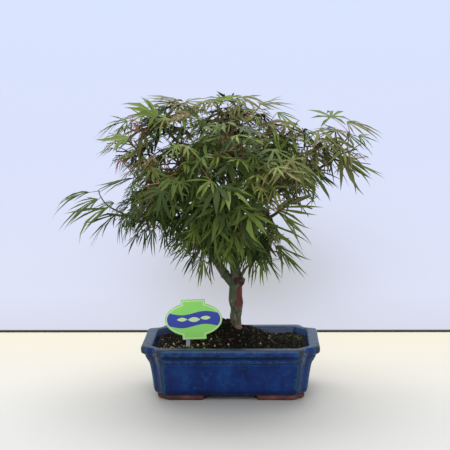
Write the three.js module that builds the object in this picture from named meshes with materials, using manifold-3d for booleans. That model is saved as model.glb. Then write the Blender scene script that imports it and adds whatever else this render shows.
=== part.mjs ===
// A Japanese maple grown as a bonsai in a shallow glazed tray, as a three.js scene graph.
// Millimetres, +Z up. The tray stands on z = 0, and the origin is under the middle of the whole plant.
// Every piece is one closed solid. Pieces that touch in life keep CLEARANCE between them.
import * as THREE from "three";
import { mergeVertices } from "three/addons/utils/BufferGeometryUtils.js";
import Module from "manifold-3d";

const wasm = await Module();
wasm.setup();
const { Manifold } = wasm;

const CLEARANCE = 0.3;
const UP = new THREE.Vector3(0, 0, 1);
const vec = (x, y, z) => new THREE.Vector3(x, y, z);

// Driving sizes of the tray
const TRAY = {
  width: 200,
  depth: 134,
  height: 61,
  rimWidth: 12,
  rimNotch: 20,
  wallNotch: 13,
  outerBite: 0.72,
  cavityNotch: 13,
  cavityBite: 0.56,
  footHeight: 6,
  footInset: 17.5,
  footBreadth: 13,
  footGap: 58,
  footGapSide: 36,
  footSlant: 2.5,
  floorThickness: 8,
};

// The outside of the tray from under the rim's top edge down to the foot: height, inset and corner notch
const OUTER_PROFILE = [
  [60, 0.2, 1],
  [57, 0, 1],
  [54.2, 1.2, 1],
  [50.5, 5.8, 0.75],
  [45, 9.6, 0.35],
  [38, 11.8, 0.1],
  [26, 13.9, 0],
  [13, 14.8, 0],
  [8, 15.8, 0],
];

// The inside, from the rim down to the floor: height and how far it lies inside the rim's inner edge
const INNER_PROFILE = [
  [60, 0],
  [54, 1.6],
  [46, 5.5],
  [32, 8.5],
  [15, 9.5],
];

// Driving sizes of the soil. It lies level by the wall, rises to a flat pad under the trunk, and is heaped
// higher on one side, towards heapBearing in radians.
const SOIL = {
  level: 53.5,
  pad: 69.7,
  padRadius: 11.5,
  spread: 28,
  heap: 9.5,
  heapBearing: 2.6,
  roughness: 1.1,
};

// The trunk: how far up from the soil, sideways, and its radius. It narrows over the roots and swells above.
const TRUNK_FOOT = vec(5.6, 6, SOIL.pad + CLEARANCE);
const TRUNK_STATIONS = [
  [0, 0, 10.2],
  [2.5, -0.2, 8.4],
  [7, -0.3, 6.9],
  [15, -0.1, 6.5],
  [22, 0.2, 7.2],
  [27, 0.5, 8.4],
  [36, 0.5, 8.2],
  [46, 0.9, 7.7],
  [53, 1.0, 7.9],
  [59, 0.8, 7.2],
  [62.5, 0.4, 5.4],
];
const TRUNK_SIDES = 10;
const KNOB = { centre: vec(12.4, 4.5, 126), radius: 4.8 };
const ROOT = { count: 4, length: 12, radius: 2.6 };

// The two limbs that leave the fork. Each is a smooth curve through a few points, with its radius on the way.
const MAIN_LIMBS = [
  {
    name: "leader",
    through: [
      vec(5.6, 6, 131),
      vec(4.7, 6, 140),
      vec(3, 6, 150),
      vec(0, 7, 176),
      vec(-3, 8, 206),
      vec(-1, 8, 240),
      vec(3, 7, 274),
    ],
    radii: [5.9, 5.5, 5, 4.3, 3.7, 3, 2.2],
  },
  {
    name: "left_bough",
    through: [
      vec(2.6, 6, 122),
      vec(-7.2, 6, 139.5),
      vec(-14.6, 6, 149),
      vec(-19.5, 5.5, 162),
      vec(-28, 6, 188),
      vec(-50, 9, 216),
      vec(-76, 12, 238),
    ],
    radii: [4.2, 4, 3.8, 3.5, 3.1, 2.5, 1.9],
  },
];

// The masses of foliage. centre and reach are the ellipsoid that a mass fills, leaf tips included.
// bough is the limb that its own bough leaves, the height it leaves at, and how thick it starts there. A mass
// with no bough of its own sits on the end of a main limb.
const MASSES = [
  { name: "top_centre", centre: vec(2, 6, 315), reach: vec(56, 58, 36), on: "leader" },
  { name: "left_upper", centre: vec(-110, 12, 282), reach: vec(50, 58, 44), on: "left_bough" },
  { name: "far_left", centre: vec(-148, -14, 207), reach: vec(56, 50, 32), bough: ["left_bough", 192, 2.3] },
  { name: "left_low", centre: vec(-90, -14, 202), reach: vec(50, 58, 44), bough: ["left_bough", 172, 2.2] },
  { name: "lower_left", centre: vec(-40, -12, 178), reach: vec(50, 58, 46), bough: ["left_bough", 152, 2] },
  { name: "front_left", centre: vec(-76, -68, 242), reach: vec(54, 54, 46), bough: ["left_bough", 205, 2] },
  { name: "top_left", centre: vec(-78, -8, 310), reach: vec(58, 56, 38), bough: ["leader", 214, 2.4] },
  { name: "top_right", centre: vec(62, 8, 288), reach: vec(54, 58, 40), bough: ["leader", 226, 2.3] },
  { name: "right_upper", centre: vec(122, -6, 271), reach: vec(54, 56, 50), bough: ["leader", 182, 2.8] },
  { name: "right_low", centre: vec(72, -18, 222), reach: vec(50, 56, 40), bough: ["leader", 164, 2.4] },
  { name: "lower_right", centre: vec(42, -12, 172), reach: vec(48, 58, 46), bough: ["trunk", 129, 1.7] },
  { name: "front_right", centre: vec(52, -74, 240), reach: vec(52, 54, 46), bough: ["leader", 196, 2.1] },
  { name: "front_centre", centre: vec(-4, -82, 202), reach: vec(58, 54, 52), bough: ["leader", 172, 2.5] },
  { name: "front_top", centre: vec(-12, -70, 278), reach: vec(60, 56, 42), bough: ["leader", 208, 2.2] },
  { name: "inner_left", centre: vec(-62, 4, 266), reach: vec(50, 50, 40), bough: ["leader", 190, 2] },
  { name: "inner_right", centre: vec(58, 2, 252), reach: vec(48, 50, 38), bough: ["leader", 186, 2] },
  { name: "back_left", centre: vec(-60, 80, 232), reach: vec(62, 56, 56), bough: ["leader", 184, 2.5] },
  { name: "back_right", centre: vec(52, 82, 226), reach: vec(62, 56, 56), bough: ["leader", 168, 2.5] },
  { name: "back_top", centre: vec(2, 68, 288), reach: vec(62, 54, 44), bough: ["leader", 230, 2.2] },
];

// A leaf: lobes as angle from the middle one in degrees, and length beside the middle one's
const LEAF = {
  length: [33, 48],
  lobes: [
    [-114, 0.45],
    [-76, 0.76],
    [-38, 0.95],
    [0, 1],
    [38, 0.95],
    [76, 0.76],
    [114, 0.45],
  ],
  notchAt: 0.27,
  baseAt: 0.07,
  baseAngle: 26,
  thickness: 1.5,
  droop: 0.2,
};

// A mass's twigs: one stem, and forks that reach forkAt of the way to the mass's edge
const TWIG = { forks: 5, forkAt: 0.45, stemRadius: 1.5, forkRadius: 1.5, tipRadius: 1.05, stalkRadius: 0.5 };
const LEAVES_PER_MASS = 13;
const TRIES = 900;
const SEED = 20417;

// Driving sizes of the plant label
const LABEL = {
  centre: vec(-41.9, -20, 86.1),
  halfWidth: 32.5,
  halfHeight: 19.6,
  tabHalfWidth: 12.3,
  tabHalfHeight: 23,
  thickness: 1.2,
  stakeX: -47.5,
  stakeWidth: 4.6,
  stakeThickness: 1.6,
  stakeTop: 94,
  stakeTip: 30,
  stakePoint: 8,
};

const MATERIALS = {
  glaze: { color: 0x1d3f7e, roughness: 0.25, metalness: 0 },
  clay: { color: 0x8a4c38, roughness: 0.85, metalness: 0 },
  soil: { color: 0x241a12, roughness: 1, metalness: 0 },
  bark: { color: 0x4b5138, roughness: 0.8, metalness: 0 },
  leaf: { color: 0x4c7a2b, roughness: 0.55, metalness: 0 },
  label: { color: 0x8fd36a, roughness: 0.4, metalness: 0 },
  stake: { color: 0xd9d9d4, roughness: 0.45, metalness: 0 },
};

// Numbers between 0 and 1 that are the same on every run
function seeded(seed) {
  let state = seed >>> 0;
  return () => {
    state = (state + 0x6d2b79f5) | 0;
    let t = Math.imul(state ^ (state >>> 15), 1 | state);
    t = (t + Math.imul(t ^ (t >>> 7), 61 | t)) ^ t;
    return ((t ^ (t >>> 14)) >>> 0) / 4294967296;
  };
}

// Solids and geometries

// A three.js geometry as a manifold-3d solid
function toSolid(geometry) {
  const bare = geometry.clone();
  bare.deleteAttribute("normal");
  bare.deleteAttribute("uv");
  const merged = mergeVertices(bare, 1e-4);
  return new Manifold(
    new wasm.Mesh({
      numProp: 3,
      vertProperties: new Float32Array(merged.attributes.position.array),
      triVerts: new Uint32Array(merged.index.array),
    }),
  );
}

// A manifold-3d solid as a flat-shaded three.js geometry
function toGeometry(solid) {
  const mesh = solid.getMesh();
  const positions = new Float32Array(mesh.numVert * 3);
  for (let i = 0; i < mesh.numVert; i++) {
    positions.set(mesh.vertProperties.subarray(i * mesh.numProp, i * mesh.numProp + 3), i * 3);
  }
  const geometry = new THREE.BufferGeometry();
  geometry.setAttribute("position", new THREE.BufferAttribute(positions, 3));
  geometry.setIndex(new THREE.BufferAttribute(new Uint32Array(mesh.triVerts), 1));
  const flat = geometry.toNonIndexed();
  flat.computeVertexNormals();
  return flat;
}

// The one body of a solid that matters: scraps that a cut leaves are dropped
function largest(solid) {
  return solid.decompose().reduce((a, b) => (a.volume() > b.volume() ? a : b));
}

// A closed solid from rings of points that all run counter-clockwise seen against the way they are stacked.
// Each end is closed by a fan from the middle of its ring.
function loft(rings) {
  const count = rings[0].length;
  const middle = (ring) => ring.reduce((sum, p) => sum.add(p), vec(0, 0, 0)).divideScalar(count);
  const points = [...rings.flat(), middle(rings[0]), middle(rings[rings.length - 1])];
  const first = rings.length * count;
  const last = (rings.length - 1) * count;
  const index = [];
  for (let i = 0; i < count; i++) {
    const j = (i + 1) % count;
    index.push(first, j, i, first + 1, last + i, last + j);
    for (let k = 0; k < rings.length - 1; k++) {
      const a = k * count;
      const b = a + count;
      index.push(a + i, a + j, b + j, a + i, b + j, b + i);
    }
  }
  const geometry = new THREE.BufferGeometry().setFromPoints(points);
  geometry.setIndex(index);
  return geometry;
}

// Rings across a curve, with a radius for each share of its length
function ringsAlong(curve, steps, sides, radiusAt) {
  const frames = curve.computeFrenetFrames(steps, false);
  const rings = [];
  for (let k = 0; k <= steps; k++) {
    const centre = curve.getPointAt(k / steps);
    const radius = radiusAt(k / steps);
    const ring = [];
    for (let i = 0; i < sides; i++) {
      const turn = (i / sides) * 2 * Math.PI;
      ring.push(
        centre
          .clone()
          .addScaledVector(frames.normals[k], Math.cos(turn) * radius)
          .addScaledVector(frames.binormals[k], Math.sin(turn) * radius),
      );
    }
    rings.push(ring);
  }
  return rings;
}

// A straight three-sided twig
function twig(from, to, radiusFrom, radiusTo) {
  const line = new THREE.LineCurve3(from, to);
  return toSolid(loft(ringsAlong(line, 1, 3, (share) => THREE.MathUtils.lerp(radiusFrom, radiusTo, share))));
}

// The value at a share of a list of evenly spaced values
function alongList(values, share) {
  const place = share * (values.length - 1);
  const low = Math.min(Math.floor(place), values.length - 2);
  return THREE.MathUtils.lerp(values[low], values[low + 1], place - low);
}

// The tray

// The tray's outline at one level: a rectangle whose corners are bitten in. Each bite starts a notch's length
// from the corner on both sides and runs, with soft turns, to a point that lies biteDepth of it inside both.
function trayOutline(halfWidth, halfDepth, notch, biteDepth, z) {
  const soft = notch * 0.12;
  const deep = notch * biteDepth;
  const corner = [
    [0, -notch - soft],
    [-soft, -notch + soft * 0.6],
    [-deep + soft, -deep - soft * 0.4],
    [-deep - soft * 0.4, -deep + soft],
    [-notch + soft * 0.6, -soft],
    [-notch - soft, 0],
  ];
  const ring = [];
  const quadrant = (sx, sy, points) => {
    for (const [x, y] of points) ring.push(vec(sx * (halfWidth + x), sy * (halfDepth + y), z));
  };
  const reversed = [...corner].reverse();
  quadrant(1, 1, corner);
  quadrant(-1, 1, reversed);
  quadrant(-1, -1, corner);
  quadrant(1, -1, reversed);
  return ring;
}

function outerRing(inset, wallToRim, z) {
  const notch = THREE.MathUtils.lerp(TRAY.wallNotch, TRAY.rimNotch, wallToRim);
  return trayOutline(TRAY.width / 2 - inset, TRAY.depth / 2 - inset, notch, TRAY.outerBite, z);
}

// The cavity's outline, drawn in by gap where something has to lie inside it
function innerRing(inset, z, gap = 0) {
  const draw = TRAY.rimWidth + inset + gap;
  return trayOutline(TRAY.width / 2 - draw, TRAY.depth / 2 - draw, TRAY.cavityNotch, TRAY.cavityBite, z);
}

function trayShell() {
  const outside = [...OUTER_PROFILE].reverse().map(([z, inset, rim]) => outerRing(inset, rim, z));
  const under = outerRing(TRAY.footInset, 0, TRAY.footHeight + CLEARANCE);
  const top = [outerRing(0.9, 1, TRAY.height), innerRing(-0.9, TRAY.height)];
  const inside = INNER_PROFILE.map(([z, inset]) => innerRing(inset, z));
  const floor = innerRing(INNER_PROFILE.at(-1)[1] + 2, TRAY.footHeight + TRAY.floorThickness);
  return loft([under, ...outside, ...top, ...inside, floor]);
}

// A block with sides that lean in towards its foot, used to cut the gaps between the feet
function gapBlock(halfX, halfY, slantX, slantY) {
  const level = (z, growX, growY) =>
    [
      [1, 1],
      [-1, 1],
      [-1, -1],
      [1, -1],
    ].map(([sx, sy]) => vec(sx * (halfX + growX), sy * (halfY + growY), z));
  return toSolid(loft([level(-1, slantX, slantY), level(TRAY.footHeight + 1, 0, 0)]));
}

// The four feet: a low ring under the wall, opened in the middle of each side
function trayFeet() {
  const { footInset: inset, footBreadth: breadth, footHeight: height, footSlant: slant } = TRAY;
  const level = (draw, z) => outerRing(draw, 0, z);
  const ring = toSolid(loft([level(inset + 1.5, 0), level(inset, 2), level(inset, height)]));
  const hollow = toSolid(loft([level(inset + breadth, -1), level(inset + breadth, height + 1)]));
  const across = gapBlock(TRAY.footGap / 2, TRAY.depth, slant, 0);
  const along = gapBlock(TRAY.width, TRAY.footGapSide / 2, 0, slant);
  const feet = {};
  for (const foot of ring.subtract(hollow).subtract(across).subtract(along).decompose()) {
    const box = foot.boundingBox();
    const side = box.min[0] + box.max[0] < 0 ? "left" : "right";
    const end = box.min[1] + box.max[1] < 0 ? "front" : "back";
    feet[`foot_${end}_${side}`] = foot;
  }
  return feet;
}

// The soil

// Height of the soil at a distance and bearing from the trunk: level by the wall, heaped round the trunk, and
// flat where the trunk stands
function soilHeight(radius, bearing, random) {
  if (radius <= SOIL.padRadius) return SOIL.pad;
  const out = (radius - SOIL.padRadius) / SOIL.spread;
  const mound = (SOIL.pad - SOIL.level) * Math.exp(-out * out);
  const facing = Math.max(0, Math.cos(bearing - SOIL.heapBearing));
  const ridge = SOIL.heap * facing * facing * Math.exp(-(((radius - 19) / 9) ** 2));
  return SOIL.level + mound + ridge + (random() - 0.5) * 2 * SOIL.roughness;
}

function soilBlock() {
  const random = seeded(SEED);
  const radii = [SOIL.padRadius, 15, 20, 27, 38, 54, 80, 150];
  const sectors = 16;
  const ringAt = (radius, heightAt) => {
    const ring = [];
    for (let i = 0; i < sectors; i++) {
      const bearing = (i / sectors) * 2 * Math.PI;
      const x = TRUNK_FOOT.x + Math.cos(bearing) * radius;
      const y = TRUNK_FOOT.y + Math.sin(bearing) * radius;
      ring.push(vec(x, y, heightAt(radius, bearing)));
    }
    return ring;
  };
  const surface = radii.map((radius) => ringAt(radius, (r, b) => soilHeight(r, b, random)));
  const below = ringAt(radii.at(-1), () => 0);
  const landscape = toSolid(loft([below, ...surface.reverse()]));
  const levels = [...INNER_PROFILE].reverse();
  const floor = innerRing(levels[0][1] + 2, TRAY.footHeight + TRAY.floorThickness + CLEARANCE, CLEARANCE);
  const filling = levels.map(([z, inset]) => innerRing(inset, z, CLEARANCE));
  const top = innerRing(0, TRAY.height + 30, CLEARANCE);
  return toSolid(loft([floor, ...filling, top])).intersect(landscape);
}

// The trunk

// The trunk with its knob and surface roots, grown by extra where a neighbour has to clear it
function trunkSolid(extra = 0) {
  const rings = TRUNK_STATIONS.map(([up, across, radius]) => {
    const ring = [];
    for (let i = 0; i < TRUNK_SIDES; i++) {
      const turn = (i / TRUNK_SIDES) * 2 * Math.PI;
      const fluted = radius * (1 + 0.05 * Math.sin(3 * turn + up * 0.05)) + extra;
      const out = vec(across + Math.cos(turn) * fluted, Math.sin(turn) * fluted, up);
      ring.push(out.add(TRUNK_FOOT));
    }
    return ring;
  });
  const knob = new THREE.SphereGeometry(KNOB.radius + extra, 7, 5).translate(...KNOB.centre.toArray());
  return toSolid(loft(rings)).add(toSolid(knob)).add(rootFlare(extra));
}

// Surface roots that run out from the trunk's foot and are cut flat with it
function rootFlare(extra) {
  const { x, y, z } = TRUNK_FOOT;
  const floor = new THREE.BoxGeometry(80, 80, 40).translate(x, y, z - 20 - extra);
  const roots = [];
  for (let i = 0; i < ROOT.count; i++) {
    const bearing = (i / ROOT.count) * 2 * Math.PI + 0.9;
    const reach = vec(Math.cos(bearing), Math.sin(bearing), 0).multiplyScalar(ROOT.length - 1.2 * (i % 2));
    const curve = new THREE.QuadraticBezierCurve3(
      TRUNK_FOOT.clone().add(vec(0, 0, 9)),
      TRUNK_FOOT.clone().addScaledVector(reach, 0.6).add(vec(0, 0, 3)),
      TRUNK_FOOT.clone().add(reach).add(vec(0, 0, -1.5)),
    );
    roots.push(toSolid(loft(ringsAlong(curve, 2, 5, (share) => ROOT.radius * (1 - 0.45 * share) + extra))));
  }
  return Manifold.union(roots).subtract(toSolid(floor));
}

// The limbs

// Every limb is kept as its curve and radii, so that a child limb and its foliage can be worked out from it
const limbs = new Map();

function limbSolid(limb, extra = 0) {
  const { curve, steps, sides, radii } = limb;
  return toSolid(loft(ringsAlong(curve, steps, sides, (share) => alongList(radii, share) + extra)));
}

// The place on a limb's curve at a height
function shareAtHeight(curve, height) {
  const count = 200;
  let best = 0;
  const miss = (share) => Math.abs(curve.getPointAt(share).z - height);
  for (let i = 0; i <= count; i++) {
    if (miss(i / count) < miss(best)) best = i / count;
  }
  return best;
}

function addMainLimbs() {
  for (const { name, through, radii } of MAIN_LIMBS) {
    const curve = new THREE.CatmullRomCurve3(through, false, "centripetal");
    limbs.set(name, { curve, radii, sides: 7, steps: 8 });
  }
}

const boughName = (mass) => (mass.bough ? `${mass.name}_bough` : mass.on);

// A bough leaves its parent at a height, bends up a little and ends where it enters its mass
function addBough(mass) {
  const [parent, height, radius] = mass.bough;
  const from =
    parent === "trunk"
      ? vec(KNOB.centre.x - 1, KNOB.centre.y + 1, height)
      : limbs.get(parent).curve.getPointAt(shareAtHeight(limbs.get(parent).curve, height));
  const toward = from.clone().sub(mass.centre);
  const depth = 0.66 / Math.hypot(toward.x / mass.reach.x, toward.y / mass.reach.y, toward.z / mass.reach.z);
  const tip = mass.centre.clone().addScaledVector(toward, Math.min(depth, 0.8));
  const span = tip.clone().sub(from);
  const bend = from.clone().addScaledVector(span, 0.5).add(vec(0, 0, 0.1 * span.length()));
  const curve = new THREE.QuadraticBezierCurve3(from, bend, tip);
  const radii = [1, 0.85, 0.62].map((share) => share * radius);
  limbs.set(boughName(mass), { curve, radii, sides: 5, steps: 3 });
}

// A limb is cut clear of the trunk and of every limb before it
function cutClear(limb, before) {
  const cut = before.reduce((solid, other) => solid.subtract(other), limbSolid(limb));
  return largest(cut);
}

// The foliage

// The outline of a leaf round its hub, counter-clockwise seen from above: the tip of each lobe, which arches
// down, and the notch between each two. The last two points are the leaf's base, where its stalk joins.
function leafOutline({ hub, forward, normal, length }, grow) {
  const side = normal.clone().cross(forward);
  const point = (degrees, share, drop) => {
    const turn = THREE.MathUtils.degToRad(degrees);
    const far = share * length + grow;
    return hub
      .clone()
      .addScaledVector(forward, Math.cos(turn) * far)
      .addScaledVector(side, Math.sin(turn) * far)
      .addScaledVector(normal, -drop * length);
  };
  const outline = [];
  LEAF.lobes.forEach(([angle, share], i) => {
    if (i > 0) outline.push(point((angle + LEAF.lobes[i - 1][0]) / 2, LEAF.notchAt, 0.02));
    outline.push(point(angle, share, LEAF.droop * share));
  });
  outline.push(point(180 - LEAF.baseAngle, LEAF.baseAt, 0), point(180 + LEAF.baseAngle, LEAF.baseAt, 0));
  return outline;
}

// A leaf is its outline closed by a fan to a point just above the hub and a fan to one just below it. Its
// stalk is three-sided: it takes the place of the face under the leaf's base and runs to the stalk's root.
function leafSolid(place, grow = 0, withStalk = true) {
  const { hub, normal, root } = place;
  const outline = leafOutline(place, grow);
  const count = outline.length;
  const half = LEAF.thickness / 2 + grow;
  const above = hub.clone().addScaledVector(normal, half);
  const below = hub.clone().addScaledVector(normal, -half);
  const points = [...outline, above, below];
  const index = [];
  for (let i = 0; i < count; i++) {
    const j = (i + 1) % count;
    index.push(count, i, j);
    if (i !== count - 2) index.push(count + 1, j, i);
  }
  const joint = [count + 1, count - 1, count - 2];
  if (!withStalk) {
    index.push(...joint);
  } else {
    const middle = joint.reduce((sum, k) => sum.add(points[k]), vec(0, 0, 0)).divideScalar(3);
    const axis = root.clone().sub(middle).normalize();
    const end = points.length;
    for (const k of joint) {
      const out = points[k].clone().sub(middle).projectOnPlane(axis).setLength(TWIG.stalkRadius);
      points.push(root.clone().add(out));
    }
    index.push(end, end + 1, end + 2);
    for (let k = 0; k < 3; k++) {
      const next = (k + 1) % 3;
      index.push(joint[k], joint[next], end + next, joint[k], end + next, end + k);
    }
  }
  const geometry = new THREE.BufferGeometry().setFromPoints(points);
  geometry.setIndex(index);
  return toSolid(geometry);
}

// How far out of a mass's ellipsoid a point lies: 1 is its surface
function reachShare(mass, point) {
  const d = point.clone().sub(mass.centre);
  return Math.hypot(d.x / mass.reach.x, d.y / mass.reach.y, d.z / mass.reach.z);
}

// The mass that a point belongs to
function homeOf(point) {
  return MASSES.reduce((a, b) => (reachShare(a, point) <= reachShare(b, point) ? a : b));
}

function randomDirection(random) {
  const z = 2 * random() - 1;
  const turn = 2 * Math.PI * random();
  return vec(Math.cos(turn) * Math.sqrt(1 - z * z), Math.sin(turn) * Math.sqrt(1 - z * z), z);
}

const boxOf = (solid) => {
  const { min, max } = solid.boundingBox();
  return new THREE.Box3(vec(...min), vec(...max));
};

// Everything placed so far: whose it is, its solid and its box
const placed = [];
function place(owner, kind, solid) {
  placed.push({ owner, kind, solid, box: boxOf(solid) });
}

// Whether a solid touches anything that passes a test
function touches(solid, matters) {
  const box = boxOf(solid);
  const near = placed.filter((other) => matters(other) && box.intersectsBox(other.box));
  return near.some((other) => !solid.intersect(other.solid).isEmpty());
}

// The stem and its forks. The stem starts just clear of the bough's tip and ends at the middle of the mass.
function growTwigs(mass, random) {
  const { curve, radii } = limbs.get(boughName(mass));
  const along = curve.getTangentAt(1);
  const start = curve.getPointAt(1).addScaledVector(along, CLEARANCE);
  const heart = start.clone().lerp(mass.centre, 0.75);
  const stemRadius = Math.min(TWIG.stemRadius, radii.at(-1));
  const neck = start.clone().addScaledVector(along, 4);
  mass.parts = [twig(start, neck, stemRadius, stemRadius * 0.95)];
  mass.parts.push(twig(start.clone().lerp(neck, 0.6), heart, stemRadius * 0.95, TWIG.forkRadius));
  mass.forks = [[neck, heart]];
  for (let i = 0; i < TWIG.forks; i++) {
    const rise = 1 - (2 * i + 1) / TWIG.forks;
    const turn = i * 2.4 + random() * 0.8;
    const flat = Math.sqrt(1 - rise * rise);
    const way = vec(Math.cos(turn) * flat, Math.sin(turn) * flat, rise);
    const tip = mass.centre.clone().add(way.multiply(mass.reach).multiplyScalar(TWIG.forkAt));
    const guard = twig(heart, tip, TWIG.forkRadius + 0.4, TWIG.tipRadius + 0.4);
    if (homeOf(tip) !== mass || touches(guard, (other) => other.owner !== mass)) continue;
    mass.parts.push(twig(heart, tip, TWIG.forkRadius, TWIG.tipRadius));
    mass.forks.push([heart, tip]);
  }
  for (const part of mass.parts) place(mass, "twig", part);
}

// A leaf's place: its hub anywhere in the mass, its stalk's root on the fork that is nearest, and its middle
// lobe pointing out of the crown and down, more so the lower it hangs
function leafPlace(mass, random) {
  const inside = randomDirection(random).multiplyScalar(0.8 * Math.cbrt(random()));
  const hub = inside.multiply(mass.reach).add(mass.centre);
  const share = 0.45 + 0.53 * random();
  const roots = mass.forks.map(([a, b]) => a.clone().lerp(b, share));
  const root = roots.reduce((a, b) => (a.distanceTo(hub) <= b.distanceTo(hub) ? a : b));
  const stalk = hub.clone().sub(root);
  const out = vec(hub.x - TRUNK_FOOT.x, hub.y - TRUNK_FOOT.y, 0).normalize();
  const swing = randomDirection(random).setZ(0).multiplyScalar(0.55);
  const heading = out.add(swing).addScaledVector(stalk.clone().setZ(0).normalize(), 0.9).normalize();
  const lowness = THREE.MathUtils.clamp((310 - hub.z) / 150, 0, 1);
  const fall = THREE.MathUtils.degToRad(2 + 62 * lowness + 24 * (random() - 0.4));
  const forward = heading.multiplyScalar(Math.cos(fall)).add(vec(0, 0, -Math.sin(fall)));
  const roll = randomDirection(random).multiplyScalar(0.28);
  const normal = UP.clone().add(roll).projectOnPlane(forward).normalize();
  const length = THREE.MathUtils.lerp(...LEAF.length, random());
  return { hub, root, forward, normal, length };
}

// One try at one more leaf on a mass. It is skipped where its stalk would come from above, where it would
// leave the mass's space, or where it would touch anything.
function tryLeaf(mass, random) {
  const where = leafPlace(mass, random);
  const stalk = where.root.clone().sub(where.hub);
  if (homeOf(where.hub) !== mass || stalk.length() < 8 || stalk.length() > 42) return false;
  const fromBelow = -stalk.dot(where.normal) - 0.3 * stalk.dot(where.forward);
  if (fromBelow < 0.1 * stalk.length()) return false;
  if (leafOutline(where, 0).some((p) => reachShare(mass, p) > 1.08)) return false;
  if (touches(leafSolid(where, 0.5, false), () => true)) return false;
  const leaf = leafSolid(where);
  if (touches(leaf, (other) => other.owner !== mass || other.kind === "leaf")) return false;
  mass.parts.push(leaf);
  place(mass, "leaf", leaf);
  return true;
}

// The masses take turns, so that no mass fills the room between two of them by itself
function growFoliage() {
  const random = seeded(SEED + 1);
  for (const mass of MASSES) growTwigs(mass, random);
  const grown = new Map(MASSES.map((mass) => [mass, 0]));
  for (let round = 0; round < TRIES; round++) {
    for (const mass of MASSES) {
      if (grown.get(mass) < LEAVES_PER_MASS && tryLeaf(mass, random)) grown.set(mass, grown.get(mass) + 1);
    }
  }
}

// The plant label: an oval plate with a tab above and below, on a flat pointed stake pushed into the soil

function labelPlate() {
  const { halfWidth, halfHeight, tabHalfWidth, tabHalfHeight, thickness, centre } = LABEL;
  const meet = Math.acos(tabHalfWidth / halfWidth);
  const shape = new THREE.Shape();
  shape.moveTo(tabHalfWidth, -tabHalfHeight);
  shape.absellipse(0, 0, halfWidth, halfHeight, -meet, meet, false, 0);
  shape.lineTo(tabHalfWidth, tabHalfHeight);
  shape.lineTo(-tabHalfWidth, tabHalfHeight);
  shape.absellipse(0, 0, halfWidth, halfHeight, Math.PI - meet, Math.PI + meet, false, 0);
  shape.lineTo(-tabHalfWidth, -tabHalfHeight);
  const plate = new THREE.ExtrudeGeometry(shape, { depth: thickness, bevelEnabled: false, curveSegments: 7 });
  return toSolid(plate.rotateX(Math.PI / 2).translate(centre.x, centre.y, centre.z));
}

function labelStake(grow = 0) {
  const { stakeX, stakeWidth, stakeThickness, stakeTop, stakeTip, stakePoint, centre } = LABEL;
  const half = stakeWidth / 2 + grow;
  const shape = new THREE.Shape();
  shape.moveTo(0, stakeTip - grow);
  shape.lineTo(half, stakeTip + stakePoint);
  shape.lineTo(half, stakeTop + grow);
  shape.lineTo(-half, stakeTop + grow);
  shape.lineTo(-half, stakeTip + stakePoint);
  const strip = new THREE.ExtrudeGeometry(shape, { depth: stakeThickness + 2 * grow, bevelEnabled: false });
  const back = centre.y + CLEARANCE + stakeThickness + grow;
  return toSolid(strip.rotateX(Math.PI / 2).translate(stakeX, back, 0));
}

// The whole plant

const plant = new THREE.Group();

function addPiece(name, material, solid) {
  const mesh = new THREE.Mesh(toGeometry(solid), new THREE.MeshStandardMaterial(MATERIALS[material]));
  mesh.name = name;
  plant.add(mesh);
}

addPiece("tray", "glaze", toSolid(trayShell()));
for (const [name, foot] of Object.entries(trayFeet())) addPiece(name, "clay", foot);
addPiece("soil", "soil", soilBlock().subtract(labelStake(CLEARANCE)));
addPiece("label_plate", "label", labelPlate());
addPiece("label_stake", "stake", labelStake());
addPiece("trunk", "bark", trunkSolid());

addMainLimbs();
for (const mass of MASSES) if (mass.bough) addBough(mass);
place("limb", "limb", trunkSolid(CLEARANCE));
for (const [name, limb] of limbs) {
  addPiece(name, "bark", cutClear(limb, placed.map((other) => other.solid)));
  place("limb", "limb", limbSolid(limb, CLEARANCE));
}

growFoliage();
for (const mass of MASSES) addPiece(`foliage_${mass.name}`, "leaf", largest(Manifold.union(mass.parts)));

const middle = new THREE.Box3().setFromObject(plant).getCenter(vec(0, 0, 0));
plant.position.set(-middle.x, -middle.y, 0);

export default plant;
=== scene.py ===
# %% [markdown]
# # A Japanese maple in a glazed tray
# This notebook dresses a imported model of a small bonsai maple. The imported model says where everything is.
# Each cell makes one part of the plant, the tray, the soil or the label as a finer mesh in the same place,
# and gives it a finish. Everything here is worked out from a few sizes and from seeded random numbers, so
# each run gives the same plant.

import bpy
import numpy as np
from mathutils import Matrix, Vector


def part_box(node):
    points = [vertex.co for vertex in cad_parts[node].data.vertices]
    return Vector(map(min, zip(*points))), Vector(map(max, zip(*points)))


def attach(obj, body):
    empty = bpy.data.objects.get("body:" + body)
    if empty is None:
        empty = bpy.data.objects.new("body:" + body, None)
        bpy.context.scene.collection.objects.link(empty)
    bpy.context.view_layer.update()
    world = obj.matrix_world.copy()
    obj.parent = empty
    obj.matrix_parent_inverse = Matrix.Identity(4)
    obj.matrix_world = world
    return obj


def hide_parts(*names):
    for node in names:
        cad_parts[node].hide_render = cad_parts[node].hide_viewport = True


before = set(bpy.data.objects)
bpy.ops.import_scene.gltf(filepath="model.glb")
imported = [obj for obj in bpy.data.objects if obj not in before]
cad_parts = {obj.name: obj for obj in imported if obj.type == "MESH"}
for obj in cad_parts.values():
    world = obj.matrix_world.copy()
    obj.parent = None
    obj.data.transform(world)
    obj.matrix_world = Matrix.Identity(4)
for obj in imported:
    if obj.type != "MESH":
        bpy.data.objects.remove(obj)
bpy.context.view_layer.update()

# %% [markdown]
# ## Millimetres from the middle of the tray
# A potter or a grower thinks in millimetres from the middle of the pot. The shared frame is in metres, and
# its origin lies under the middle of the whole plant. One function turns the first into the second, and
# reads the tray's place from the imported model, so that the two can't drift apart.

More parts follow.
